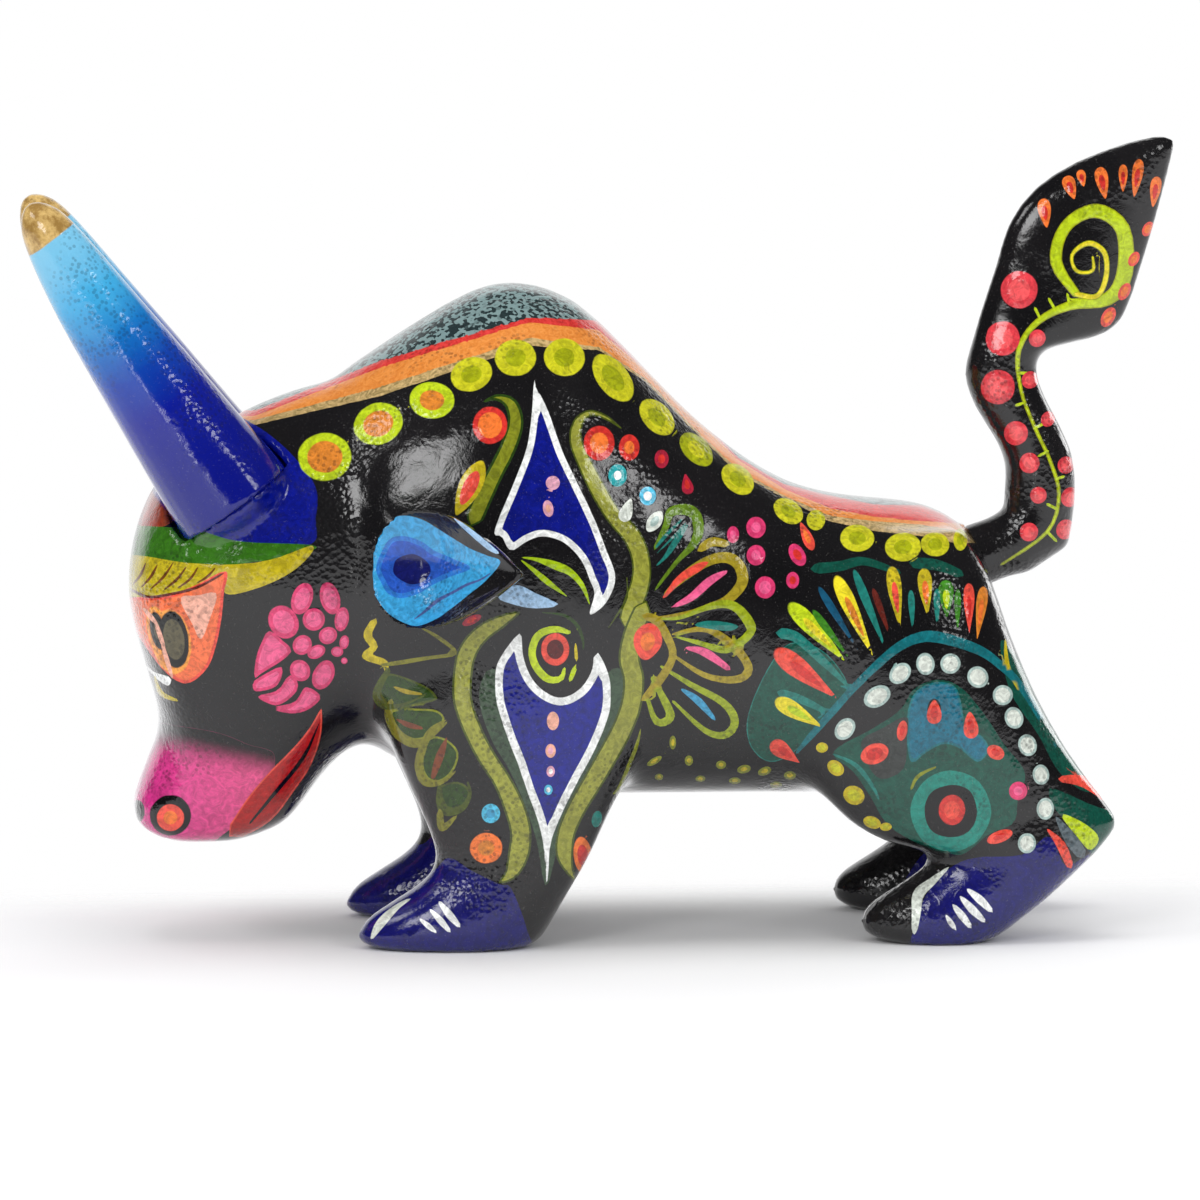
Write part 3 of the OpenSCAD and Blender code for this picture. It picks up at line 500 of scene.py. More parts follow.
# %% spots
SPOTS = [
    (-62.5, 108, 5.7, 5.1, 0, 0, 0, "lime", "amber", 0.66),
    (-51, 115, 5.3, 4.4, 20, 0, 0, "lime", "amber", 0.62),
    (-39.5, 120, 4.8, 3.9, -5, 0, 0, "lime", "amber", 0.55),
    (-31, 125.5, 4.5, 3.6, 20, 0, 0, "yellow", "yellowd", 0.5),
    (-21.5, 129, 4.4, 3.9, 0, 0, 0, "yellow", "yellowd", 0.5),
    (-11, 129, 4.4, 4, -10, 0, 0, "yellow", "yellowd", 0.5),
    (-0.5, 124.5, 5.9, 3.3, -52, 0, 0, "yellow", "yellowd", 0.55),
    (9, 116, 4.6, 2.9, -48, 0, 0, "yellow", "yellowd", 0.5),
    (17.5, 109, 4.4, 2.6, -46, 0, 0, "yellowd", "yellow", 0.5),
    (26.5, 102.5, 4, 2.8, -42, 0, 0, "yellow", "yellowd", 0.5),
    (37.5, 95.5, 3.5, 2.4, -35, 0, 0, "yellow", "yellowd", 0.5),
    (43.5, 93.5, 2, 2.2, 0, 0, 0, "yellow", "yellow", 0.5),
    (52.5, 89.5, 3.7, 2.9, -5, 0, 0, "yellow", "yellowd", 0.5),
    (62.5, 87.5, 3.9, 3.1, 0, 0, 0, "yellow", "yellowd", 0.5),
    (69.5, 88, 3.1, 2.6, -10, 0, 0, "yellow", "yellowd", 0.5),
    (75, 89, 1.5, 2.4, 0, 0, 0, "yellow", "yellowd", 0.5),
    (-27, 114.5, 3.7, 4, 0, 0, 0, "red", "orange", 0.7),
    (-31.5, 101, 6.4, 2.4, 64, 0.25, 0.3, "mustard", "coral", 0.62),
    (-3.5, 110.5, 3.3, 3.7, 0, 0, 0, "red", "orange", 0.6),
    (3, 109.5, 2.2, 2.8, 0, 0, 0, "red", "orange", 0.5),
    (10, 107, 1.5, 2, 0, 0, 0, "crimson", "red", 0.5),
    (15.5, 101.5, 2.2, 1.1, 100, -0.6, 0, "crimson", "red", 0.5),
    (0.5, 103.5, 2, 2.4, 0, 0, 0, "teal", "white", 0.4),
    (7, 99, 1.8, 2, 0, 0, 0, "sky", "white", 0.5),
    (2.5, 96, 2.6, 1.3, 70, -0.5, 0, "bone", "bone", 0.5),
    (8.5, 93.5, 2.6, 1.5, 55, 0, 0.2, "bone", "greyw", 0.5),
    (-13.5, 102, 1.5, 1.5, -70, 0, 0, "pinkw", "pinkw", 0.5),
    (-14.5, 96.5, 1.8, 1.1, -80, 0, 0, "pinkw", "peach", 0.5),
    (-13.5, 50.5, 1.3, 2, 0, 0, 0, "peach", "peach", 0.5),
    (-14, 44, 1.1, 1.5, 0, 0, 0, "peach", "pinkw", 0.5),
    (-14, 39.5, 0.9, 1.2, 0, 0, 0, "pinkw", "white", 0.5),
    (-14.5, 35.5, 0.9, 1.1, 0, 0, 0, "sky", "white", 0.5),
    (-31, 72.5, 2.2, 0.9, 25, 0, 0, "crimson", "red", 0.5),
    (30.5, 92, 2.1, 2.3, 0, 0, 0, "pinkd", "pink", 0.5),
    (25.5, 90.5, 1.3, 1.8, 0, 0, 0, "pinkd", "pink", 0.5),
    (30.5, 86, 2, 2.2, 0, 0, 0, "pinkd", "pink", 0.5),
    (32.5, 79, 2.2, 2.4, 0, 0, 0, "pinkd", "pink", 0.6),
    (39.5, 86, 2.6, 1.6, -60, 0, 0, "pinkd", "red", 0.5),
    (38.5, 80.5, 1.4, 1.8, 0, 0, 0, "pinkd", "red", 0.5),
    (41.5, 90, 3.3, 1.1, -66, 0.4, 0.2, "coral", "orange", 0.5),
    (-27, 30.5, 2, 2.1, 0, 0, 0, "sky", "skyd", 0.5),
    (-28, 23, 3.5, 3.3, 0, 0, 0, "orange", "amber", 0.5),
    (-4, 29, 1.1, 1.8, -10, 0, 0, "tealg", "tealg", 0.5),
    (-7, 21, 2, 4.2, 8, 0, 0, "orange", "red", 0.6),
    (7, 67.5, 4, 3.1, 80, 0.1, 0.2, "coral", "orange", 0.5),
    (50, 48, 2, 2.6, -40, 0, 0, "greyw", "bone", 0.75),
    (57, 55, 3.1, 2.2, 30, 0, 0, "greyw", "bone", 0.75),
    (62, 60, 2.6, 2, 40, 0, 0, "greyw", "bone", 0.75),
    (67.5, 62, 2, 2.4, 10, 0, 0, "greyw", "bone", 0.75),
    (73, 62, 2.2, 2.2, 0, 0, 0, "greyw", "bone", 0.75),
    (79, 59, 2.4, 2.2, -50, 0, 0, "greyw", "bone", 0.75),
    (84.5, 55, 2.2, 2.2, -40, 0, 0, "greyw", "bone", 0.75),
    (87, 50, 2, 2.4, 20, 0, 0, "greyw", "bone", 0.75),
    (90, 44, 2, 2.4, 20, 0, 0, "greyw", "bone", 0.75),
    (93, 37.5, 1.8, 2.2, 10, 0, 0, "greyw", "bone", 0.75),
    (94, 30, 1.9, 2.4, 0, 0, 0, "greyw", "bone", 0.75),
    (90, 22.5, 2, 2.2, 0, 0, 0, "greyw", "bone", 0.75),
    (44, 69, 8.9, 1.6, 134, 0.75, 0, "lime", "lemon", 0.5),
    (41.5, 60, 8.6, 1.9, 142, 0.75, 0, "coral", "red", 0.5),
    (40, 51.5, 5.9, 1.5, 149, 0.75, 0, "lemon", "lime", 0.5),
    (37, 43, 3.8, 1.5, 144, 0.75, 0, "coral", "red", 0.5),
    (52, 72.5, 9.6, 1.4, 115, 0.75, 0, "lemon", "amber", 0.5),
    (55.5, 73.5, 9.7, 0.8, 112, 0.75, 0, "tealg", "tealg", 0.5),
    (48.5, 72, 8.1, 0.7, 122, 0.75, 0, "blueg", "blueg", 0.5),
    (47, 68.5, 6.8, 0.7, 127, 0.75, 0, "green", "green", 0.5),
    (61, 76.5, 6.8, 1.3, 98, 0.75, 0, "mustard", "coral", 0.5),
    (67.5, 77.5, 5.2, 1.3, 95, 0.75, 0, "mustard", "orange", 0.5),
    (72, 76, 4.2, 1.4, 92, 0.75, 0, "green", "lime", 0.5),
    (77, 74, 5.4, 1, 91, 0.75, 0, "coral", "red", 0.5),
    (79.5, 73, 5.8, 1, 83, 0.75, 0, "amber", "orange", 0.5),
    (64.5, 73.5, 4.6, 0.6, 93, 0.75, 0, "tealg", "tealg", 0.5),
    (70, 74, 4.4, 0.6, 91, 0.75, 0, "tealg", "tealg", 0.5),
    (74.5, 73.5, 4.6, 0.6, 90, 0.75, 0, "green", "green", 0.5),
    (58, 73, 5.8, 0.6, 110, 0.75, 0, "brownr", "brownr", 0.5),
    (69.5, 52, 1.5, 2.4, 0, 0, 0, "ink", "ink", 0.5),
    (69.5, 51.5, 2.6, 1.5, -90, 0.4, 0, "coral", "red", 0.55),
    (77.5, 48.5, 2.9, 1.5, -85, 0.4, 0, "coral", "red", 0.5),
    (83, 42.5, 2, 1.5, -30, 0, 0, "coral", "red", 0.5),
    (62.5, 47.5, 2.2, 1.1, -100, 0, 0, "coral", "red", 0.5),
    (56.5, 42.5, 3.1, 2.2, 20, 0, 0, "coral", "red", 0.6),
    (88, 34, 2, 2, 0, 0, 0, "pinkd", "pink", 0.5),
    (84, 24, 2.9, 1.3, 20, 0, 0, "coral", "red", 0.5),
    (73.5, 30, 2.9, 3.3, 0, 0, 0, "red", "coral", 0.6),
    (48, 39.5, 2, 1.5, -40, 0, 0, "mustard", "yellow", 0.6),
    (52, 33.5, 2.4, 2, -30, 0, 0, "mustard", "yellow", 0.6),
    (56, 27.5, 2, 1.3, -20, 0, 0, "mustard", "yellow", 0.6),
    (59, 26.5, 1.3, 0.9, 0, 0, 0, "mustard", "yellow", 0.6),
    (45, 44, 1.3, 1.1, 0, 0, 0, "mustard", "yellow", 0.6),
    (8.5, 41.5, 1.8, 0.7, 30, 0, 0, "olive", "mustard", 0.5),
    (12.5, 45.5, 0.7, 1.5, 0, 0, 0, "olive", "mustard", 0.5),
    (16, 41.5, 0.9, 1.1, 0, 0, 0, "olive", "mustard", 0.5),
    (23, 40.5, 1.1, 0.9, 0, 0, 0, "olive", "mustard", 0.5),
    (28, 39.5, 1.5, 0.9, 10, 0, 0, "olive", "mustard", 0.5),
    (18.5, 37.5, 1.1, 0.7, 0, 0, 0, "olive", "mustard", 0.5),
    (26, 37, 1.3, 0.7, 0, 0, 0, "olive", "mustard", 0.5),
    (32.5, 39, 1.5, 0.9, 20, 0, 0, "olive", "mustard", 0.5),
    (38, 38, 1.3, 0.9, 0, 0, 0, "olive", "mustard", 0.5),
    (9.5, 38, 0.9, 0.7, 0, 0, 0, "olive", "mustard", 0.5),
    (35, 36, 1.3, 0.7, 0, 0, 0, "olive", "mustard", 0.5),
    (-67.5, 77.5, 3.5, 2.2, 70, 0, 0, "pinkd", "pink", 0.7),
    (-61.5, 77.5, 3.5, 2.1, -75, 0, 0, "pinkd", "pink", 0.7),
    (-71.5, 72.5, 3.7, 3.1, -60, 0, 0, "pinkd", "pink", 0.7),
    (-65, 73, 2.4, 2.4, 0, 0, 0, "pinkd", "pink", 0.7),
    (-59, 73, 2.6, 1.5, 80, 0, 0, "pinkd", "pink", 0.7),
    (-62, 69.5, 2, 1.8, 30, 0, 0, "pinkd", "pink", 0.7),
    (-67.5, 67.5, 2.2, 2, 50, 0, 0, "pinkd", "pink", 0.7),
    (-58.5, 68, 1.5, 1, 80, 0, 0, "pinkd", "pink", 0.7),
    (-64.5, 66, 2, 1.4, 25, 0, 0, "pinkd", "pink", 0.7),
    (-60, 66, 1.3, 1.1, 0, 0, 0, "pinkd", "pink", 0.7),
    (-58.5, 64, 0.7, 0.7, 0, 0, 0, "pinkd", "pink", 0.7),
    (-68, 62, 2.4, 2.1, -60, 0, 0, "pinkd", "pink", 0.7),
    (-63, 61, 3.3, 2.2, 65, 0, 0, "pinkd", "pink", 0.7),
    (-95.5, 68.5, 7, 4.1, 98, 0, 0, "eyelight", "amber", 0.82),
    (-98.5, 71, 5.3, 2.2, 100, 0, 0, "eyelight", "amber", 0.8),
    (-98.5, 71, 4, 1.5, 100, 0, 0, "ink", "pupil", 0.5),
    (-95, 69, 6.2, 3.1, 98, 0, 0, "ink", "pupil", 0.72),
    (-100, 74, 2.4, 0.5, -50, 0, 0, "peach", "peach", 0.5),
    (-98, 70, 3.3, 0.5, -72, 0, 0, "peach", "peach", 0.5),
    (-96.5, 64.5, 4, 0.5, -74, 0, 0, "peach", "peach", 0.5),
    (-96, 31, 4.4, 4.4, 0, 0, 0, "ink", "ink", 0.5),
    (-96, 30.5, 2.9, 2.9, 0, 0, 0, "coral", "orange", 0.5),
    (-103, 32, 1.5, 2.4, 0, 0, 0, "ink", "ink", 0.5),
    (-13, 66, 3, 3.5, 0, 0, 0, "coral", "maroon", 0.6),
    (87.5, 143, 4, 4, 0, 0, 0, "pinkr", "pinkr2", 0.6),
    (84, 132.5, 3.7, 3.7, 0, 0, 0, "pinkr", "pinkr2", 0.6),
    (83, 122, 3.7, 3.7, 0, 0, 0, "pinkr", "pinkr2", 0.6),
    (87, 112, 2.6, 2.6, 0, 0, 0, "pinkr", "pinkr2", 0.6),
    (90, 105.5, 2.2, 2.2, 0, 0, 0, "pinkr", "pinkr2", 0.6),
    (92, 98.5, 1.8, 1.8, 0, 0, 0, "pinkr", "pinkr2", 0.6),
    (90, 90.5, 2, 2, 0, 0, 0, "pinkr", "pinkr2", 0.6),
    (94, 115, 1.7, 1.5, 60, 0, 0, "pinkr", "pinkr2", 0.6),
    (98, 105, 1.9, 1.8, 60, 0, 0, "pinkr", "pinkr2", 0.6),
    (99, 98, 2.2, 2, 60, 0, 0, "pinkr", "pinkr2", 0.6),
    (98, 91, 2.2, 2, 60, 0, 0, "pinkr", "pinkr2", 0.6),
    (91.5, 132.5, 1.9, 1.8, 60, 0, 0, "pinkr", "pinkr2", 0.6),
    (90, 123.5, 1.9, 1.8, 60, 0, 0, "pinkr", "pinkr2", 0.6),
    (115.5, 156, 1.7, 1.1, 60, 0, 0, "coral", "orange", 0.6),
    (112.5, 149.5, 1.7, 1.1, 60, 0, 0, "coral", "orange", 0.6),
    (110.5, 142.5, 2, 1.2, 60, 0, 0, "coral", "orange", 0.6),
    (107, 137, 2.3, 1.4, 60, 0, 0, "coral", "orange", 0.6),
    (105.5, 166, 3.4, 1.3, 101, 0.5, 0, "orange", "red", 0.5),
    (98.5, 165, 2.6, 1.3, 110, 0.5, 0, "orange", "red", 0.5),
    (93, 159.5, 3.1, 1.3, 98, 0.5, 0, "orange", "red", 0.5),
    (113, 167, 4, 1.1, 82, 0.5, 0, "orange", "red", 0.5),
    (117, 164, 3.3, 1.1, 82, 0.5, 0, "orange", "red", 0.5),
    (101, 167, 1.8, 0.9, 104, 0.5, 0, "orange", "red", 0.5),
    (110, 167, 2.9, 0.9, 90, 0.5, 0, "orange", "red", 0.5),
]

# %% [markdown]
# The bands along the back are ribbons that follow the spine: each row gives u and the heights of the lower
# edges of the buff, orange, red and speckled bands, and of the spine itself.

# %% bands and the ear's own design
BANDS = [
    (-77.5, 115, 116, 116.8, 118, 120),
    (-50.5, 121, 122.8, 127.2, 128.4, 133.6),
    (-18.5, 131.6, 133.2, 136.8, 137.4, 145),
    (-3.5, 130.6, 131, 134.8, 137, 136.8),
    (6.5, 123.8, 124.2, 126.2, 127, 128.2),
    (16.5, 113.6, 114, 117, 117.8, 118.8),
    (26.5, 104, 104.4, 106.8, 107.2, 108.2),
    (36.5, 98.6, 98.8, 100.4, 101.4, 102),
    (46.5, 93.2, 94.4, 96, 98.8, 99.8),
    (56.5, 91, 93.2, 94, 96.8, 98),
    (66.5, 89.8, 92.4, 93, 96.6, 97.2),
    (74, 88.2, 91, 92.6, 93.6, 94.2),
]
EAR_OUTLINES = [
    (0, "earsky", "earsky", 0,
     [(-53.2, 84), (-52.8, 89), (-50.8, 92.8), (-48, 94.8), (-44.8, 95.2), (-41.4, 94.2),
      (-38.4, 92.4), (-35, 90.2), (-31, 87.8), (-27.6, 86.4), (-24.8, 85), (-28, 81), (-31.2, 78.4),
      (-35, 75.4), (-38.4, 73), (-42.4, 71.4), (-45.4, 72), (-48.8, 74), (-51.2, 77), (-52.8, 80.6)]),
    (1, "earblue", "earmid", 1.05,
     [(-51.6, 83.8), (-50.6, 87), (-48.6, 90.2), (-45.4, 90.8), (-41.8, 89.6), (-39, 87.6),
      (-35.4, 86), (-31.2, 83.8), (-36, 81.8), (-39.4, 80.2), (-42.4, 78.4), (-46.2, 77.4),
      (-49, 78.4), (-50.6, 81)]),
    (2, "earnavy", "earblue", 0.9,
     [(-48.8, 84), (-48, 86.2), (-46, 87.4), (-43.4, 87.8), (-40.8, 86.6), (-39.2, 84.8), (-39, 82.8),
      (-40.2, 80.8), (-42.4, 79.6), (-44.8, 79.6), (-47.4, 81), (-48.6, 82.4)]),
]
EAR_STROKES = [
    (1, "earslate", "earslate", 0, [(-43.4, 72.8, 0.1), (-41, 74.6, 0.3), (-38.4, 76.8, 0.4),
     (-35, 78.6, 0.3), (-32, 80.2, 0.3), (-29.2, 81.2, 0.2), (-27, 82.6, 0.1)]),
    (1, "skyw", "skyw", 0, [(-34.8, 94.6, 0.1), (-32.4, 92.6, 0.5), (-29.8, 90.4, 0.6),
     (-27.2, 88.2, 0.6), (-25.4, 87, 0.3)]),
    (2, "skyw", "skyw", 0, [(-34.2, 94.6, 0.1), (-31.2, 93.4, 0.2), (-28.6, 91.6, 0.3),
     (-26.2, 90, 0.3), (-24.8, 88.2, 0.3)]),
]
print(len(OUTLINES), "outlines", len(STROKES), "strokes", len(SPOTS), "spots")

# %% [markdown]
# ## From the sheet to the carving
# A painter looks straight at a flank and keeps the motif true from there. The design is therefore laid on by
# central projection from the painter's eye, about a metre and a half away, and mirrored for the other flank.
# Surfaces turned away from the painter keep their black ground.

# %% laying the sheet on
PAINTER = np.array([-135.0, -1426.0, 220.0])
SHEET_Y = -35.0


def on_sheet(co_mm):
    """u, v where the ray from the painter through each point meets the sheet, for the flank it is on."""
    p = co_mm.copy()
    p[:, 1] = -np.abs(p[:, 1])
    t = (SHEET_Y - PAINTER[1]) / (p[:, 1] - PAINTER[1])
    return np.stack([PAINTER[0] + (p[:, 0] - PAINTER[0]) * t, PAINTER[2] + (p[:, 2] - PAINTER[2]) * t], 1)


def facing(co_mm, no):
    """How squarely each point is turned to the painter on its own flank: the cosine, from -1 to 1."""
    p, n = co_mm.copy(), no.copy()
    flip = p[:, 1] > 0
    p[flip, 1] *= -1
    n[flip, 1] *= -1
    ray = PAINTER - p
    ray /= np.linalg.norm(ray, axis=1)[:, None]
    return np.einsum("ij,ij->i", ray, n)


# %% [markdown]
# ## Distance fields
# A line finer than the mesh can still be drawn sharply if the mesh carries distances, not colours. A
# distance changes evenly between two vertices, so the shader finds the exact place where it crosses zero.
# Outlines carry a signed distance. Strokes carry the offset to the left or right of their middle line, which
# passes through zero in the middle. Spots carry their own two coordinates, so an ellipse stays an ellipse.

# %% curves and distances
def through(points, closed, steps=5):
    """A Catmull-Rom curve through rows of numbers: each span is the cubic of its four nearest points."""
    p = np.asarray(points, float)
    n = len(p)
    last = n if closed else n - 1
    i = np.arange(last)[:, None]
    pick = (lambda k: p[k % n]) if closed else (lambda k: p[np.clip(k, 0, n - 1)])
    a, b, c, d = (pick((i + k).ravel())[:, None, :] for k in (-1, 0, 1, 2))
    t = (np.arange(steps) / steps)[None, :, None]
    curve = 0.5 * (2 * b + (c - a) * t + (2 * a - 5 * b + 4 * c - d) * t ** 2
                   + (3 * b - a - 3 * c + d) * t ** 3)
    curve = curve.reshape(-1, p.shape[1])
    return curve if closed else np.vstack([curve, p[-1]])


def inside_by(uv, ring):
    """Signed distance to a closed ring: the least distance to its sides, negative within (even-odd rule)."""
    a, b = ring, np.roll(ring, -1, 0)
    ab = b - a
    rel = uv[:, None, :] - a[None]
    t = np.clip((rel * ab).sum(2) / np.maximum((ab * ab).sum(1), 1e-9), 0, 1)
    dist = np.linalg.norm(rel - t[:, :, None] * ab, axis=2).min(1)
    over = (a[None, :, 1] > uv[:, None, 1]) != (b[None, :, 1] > uv[:, None, 1])
    rise = np.where(np.abs(ab[:, 1]) < 1e-9, 1e-9, ab[:, 1])
    cross = a[:, 0] + (uv[:, 1:2] - a[:, 1]) * ab[:, 0] / rise
    odd = (over & (uv[:, 0:1] < cross)).sum(1) % 2 == 1
    return np.where(odd, -dist, dist)


def beside(uv, chain):
    """Offset to the left (+) or right (-) of the nearest span of a chain, and the half width there. Beyond an
    end the half width falls by the distance gone past it, so the stroke closes."""
    a, b = chain[:-1, :2], chain[1:, :2]
    ab = b - a
    size = np.maximum(np.linalg.norm(ab, axis=1), 1e-6)
    rel = uv[:, None, :] - a[None]
    t = (rel * ab).sum(2) / size ** 2
    tc = np.clip(t, 0, 1)
    gap = np.linalg.norm(rel - tc[:, :, None] * ab, axis=2)
    k = gap.argmin(1)
    rows = np.arange(len(uv))
    tk, tck, relk = t[rows, k], tc[rows, k], rel[rows, k]
    turn = ab[k, 0] * relk[:, 1] - ab[k, 1] * relk[:, 0]
    side = np.where(turn >= 0, 1.0, -1.0)
    past = np.abs(tk - tck) * size[k] * (((k == 0) & (tk < 0)) | ((k == len(a) - 1) & (tk > 1)))
    half = chain[k, 2] + (chain[k + 1, 2] - chain[k, 2]) * tck - past
    across = np.sqrt(np.maximum(gap[rows, k] ** 2 - past ** 2, 0))
    return side * across, half


# %% filling the layers
FAR = 6.0


def shades(name, u):
    """The linear colour called name at each u, or the shade between a and b for "a>b"."""
    first, _, last = name.partition(">")
    a, b = linear(PALETTE[first]), linear(PALETTE[last or first])
    t = (u - u.min()) / max(np.ptp(u), 1e-6) if len(u) else u
    return a + (b - a) * t[:, None]


def store(ob, name, values):
    """Keeps an (n,), (n, 3) or (n, 4) array on ob as a float, vector or colour attribute."""
    kind = {1: "FLOAT", 3: "FLOAT_VECTOR", 4: "FLOAT_COLOR"}[1 if values.ndim == 1 else values.shape[1]]
    key = {"FLOAT": "value", "FLOAT_VECTOR": "vector", "FLOAT_COLOR": "color"}[kind]
    layer = ob.data.attributes.new(name, kind, "POINT")
    layer.data.foreach_set(key, np.ascontiguousarray(values, np.float32).ravel())


def near_box(uv, points, margin):
    """Which of uv lie in the box round points, widened by margin."""
    low, high = points[:, :2].min(0) - margin, points[:, :2].max(0) + margin
    return np.flatnonzero(((uv > low) & (uv < high)).all(1))


def lay_outlines(ob, uv, away, outlines, layers, free=()):
    """Layer by layer, the distance to the nearest outline with its fill, edge colour and edge width. Gives
    back how thick the paint is, more on higher layers."""
    relief = np.zeros(len(uv))
    for layer in range(layers):
        d = np.full(len(uv), FAR)
        fill, edge = np.zeros((len(uv), 4)), np.zeros((len(uv), 4))
        for _, f, e, w, points, *fade in (row for row in outlines if row[0] == layer):
            ring = through(points, True)
            near = near_box(uv, ring, 4)
            dist = inside_by(uv[near], ring)
            if f not in free:
                dist = np.maximum(dist, away[near])
            win = dist < d[near]
            k = near[win]
            d[k] = dist[win]
            fill[k, :3], edge[k, :3], fill[k, 3] = shades(f, uv[k, 0]), shades(e, uv[k, 0]), w
            if fade:
                light = ease(uv[k, 1:2] - fade[0][2] * (uv[k, 0:1] - ring[:, 0].mean()), *fade[0][:2])
                fill[k, :3] = linear(PALETTE["ink"]) + (fill[k, :3] - linear(PALETTE["ink"])) * light
        edge[:, 3] = d
        relief = np.maximum(relief, ease(-d, -0.1, 0.7) * (0.4 + 0.1 * layer))
        store(ob, "fill%d" % layer, fill)
        store(ob, "edge%d" % layer, edge)
    return relief


def lay_strokes(ob, uv, away, strokes, layers):
    """Layer by layer, the nearest stroke's offset, half width and distance, with its colours. Gives back how
    thick the paint is."""
    relief = np.zeros(len(uv))
    for layer in range(layers):
        line = np.tile([FAR, 0.0, FAR], (len(uv), 1))
        fill, edge = np.zeros((len(uv), 4)), np.zeros((len(uv), 4))
        for _, f, e, w, points in (row for row in strokes if row[0] == layer):
            chain = through(points, False, 4)
            near = near_box(uv, chain, 4 + chain[:, 2].max())
            off, half = beside(uv[near], chain)
            dist = np.maximum(np.abs(off) - half, away[near])
            win = dist < line[near, 2]
            k = near[win]
            line[k] = np.stack([off[win], half[win], dist[win]], 1)
            fill[k, :3], edge[k, :3], fill[k, 3] = shades(f, uv[k, 0]), shades(e, uv[k, 0]), w
        relief = np.maximum(relief, ease(-line[:, 2], -0.1, 0.7) * (0.5 + 0.1 * layer))
        store(ob, "line%d" % layer, line)
        store(ob, "inkfill%d" % layer, fill)
        store(ob, "inkedge%d" % layer, edge)
    return relief


# %% sharing the spots out
THINNEST = 0.15  # the least share of its half width that taper and pinch leave a spot
SPOT_REACH_MM = 16


def in_spot(s, uv):
    """Place in a spot's own frame: x along it and y across it, from -1 to 1, with its taper and pinch."""
    turn = np.radians(s[4])
    rel = uv - np.array([s[0], s[1]], float)
    x = (rel[:, 0] * np.cos(turn) + rel[:, 1] * np.sin(turn)) / s[2]
    y = (rel[:, 1] * np.cos(turn) - rel[:, 0] * np.sin(turn)) / s[3]
    return x, y, np.maximum((1 + s[5] * x) * (1 - s[6] * x * x), THINNEST)


def spot_ring(s):
    """24 points round a spot: x = a cos t, y = b sin t (1 + taper cos t)(1 - pinch cos^2 t), then turned."""
    t = np.linspace(0, 2 * np.pi, 24, endpoint=False)
    x, turn = np.cos(t), np.radians(s[4])
    y = np.sin(t) * np.maximum((1 + s[5] * x) * (1 - s[6] * x * x), THINNEST)
    x, y = x * s[2], y * s[3]
    return np.stack([s[0] + x * np.cos(turn) - y * np.sin(turn),
                     s[1] + x * np.sin(turn) + y * np.cos(turn)], 1)


def share_out(spots, room_mm=2.1):
    """Gives each spot the lowest layer where it neither crowds its neighbours nor hides under one."""
    rings, levels = [spot_ring(s) for s in spots], []
    for i, s in enumerate(spots):
        level, crowded = 0, set()
        for j, other in enumerate(spots[:i]):
            if np.hypot(s[0] - other[0], s[1] - other[1]) > SPOT_REACH_MM:
                continue
            gap = np.linalg.norm(rings[i][:, None] - rings[j][None], axis=2).min()
            for one, ring in ((s, rings[j]), (other, rings[i])):
                x, y, thin = in_spot(one, ring)
                gap = -1.0 if (np.hypot(x, y / thin) < 1).any() else gap
            level = max(level, levels[j] + 1) if gap < 0 else level
            crowded |= {levels[j]} if gap < room_mm else set()
        while level in crowded:
            level += 1
        levels.append(level)
    return levels


SPOT_LEVELS = share_out(SPOTS)
SPOT_LAYERS = max(SPOT_LEVELS) + 1


def lay_spots(ob, uv, away, spots, levels, layers):
    """Layer by layer, a point's place in the nearest spot, (x / a, y / b), with the spot's own numbers. Gives
    back how thick the paint is, crowned like a drop."""
    relief = np.zeros(len(uv))
    for layer in range(layers):
        place = np.tile([9.0, 9.0, FAR], (len(uv), 1))
        form, rim, heart = np.zeros((len(uv), 3)), np.zeros((len(uv), 4)), np.zeros((len(uv), 4))
        for s, level in zip(spots, levels):
            if level != layer:
                continue
            centre = np.array([[s[0], s[1]]], float)
            near = near_box(uv, centre, max(s[2:4]) * 1.5 + 3)
            x, y, thin = in_spot(s, uv[near])
            dist = np.maximum((np.hypot(x, y / thin) - 1) * min(s[2:4]), away[near])
            win = dist < place[near, 2]
            k = near[win]
            place[k] = np.stack([x[win], y[win], dist[win]], 1)
            form[k] = [s[5], s[6], s[9]]
            rim[k, :3], heart[k, :3] = linear(PALETTE[s[7]]), linear(PALETTE[s[8]])
        for name, values in (("place", place), ("form", form), ("rim", rim), ("heart", heart)):
            store(ob, "%s%d" % (name, layer), values)
        relief = np.maximum(relief, ease(-place[:, 2], -0.2, 1.4) * 1.2)
    return relief


print("spots share", SPOT_LAYERS, "layers")


# %% painting the pieces
def along_back(uv):
    """Which band of the back a point is in: 0, 1, 2, 3 and 4 at the lower edges of the buff, orange, red and
    speckled bands and at the spine, evenly between, fading out beyond the horns and the tail."""
    rows = np.array(BANDS)
    lines = np.stack([np.interp(uv[:, 0], rows[:, 0], rows[:, k]) for k in range(1, 6)], 1)
    v = uv[:, 1]
    band = np.where(v < lines[:, 0], (v - lines[:, 0]) / 2.0, 0.0)
    for k in range(4):
        wide = np.maximum(lines[:, k + 1] - lines[:, k], 0.2)
        band += np.clip((v - lines[:, k]) / wide, 0, 1)
    band += np.maximum(v - lines[:, 4], 0) / 6
    fade = np.minimum(uv[:, 0] - (rows[0, 0] - 9), rows[-1, 0] + 6 - uv[:, 0])
    return np.minimum(np.maximum(band, -3), fade)


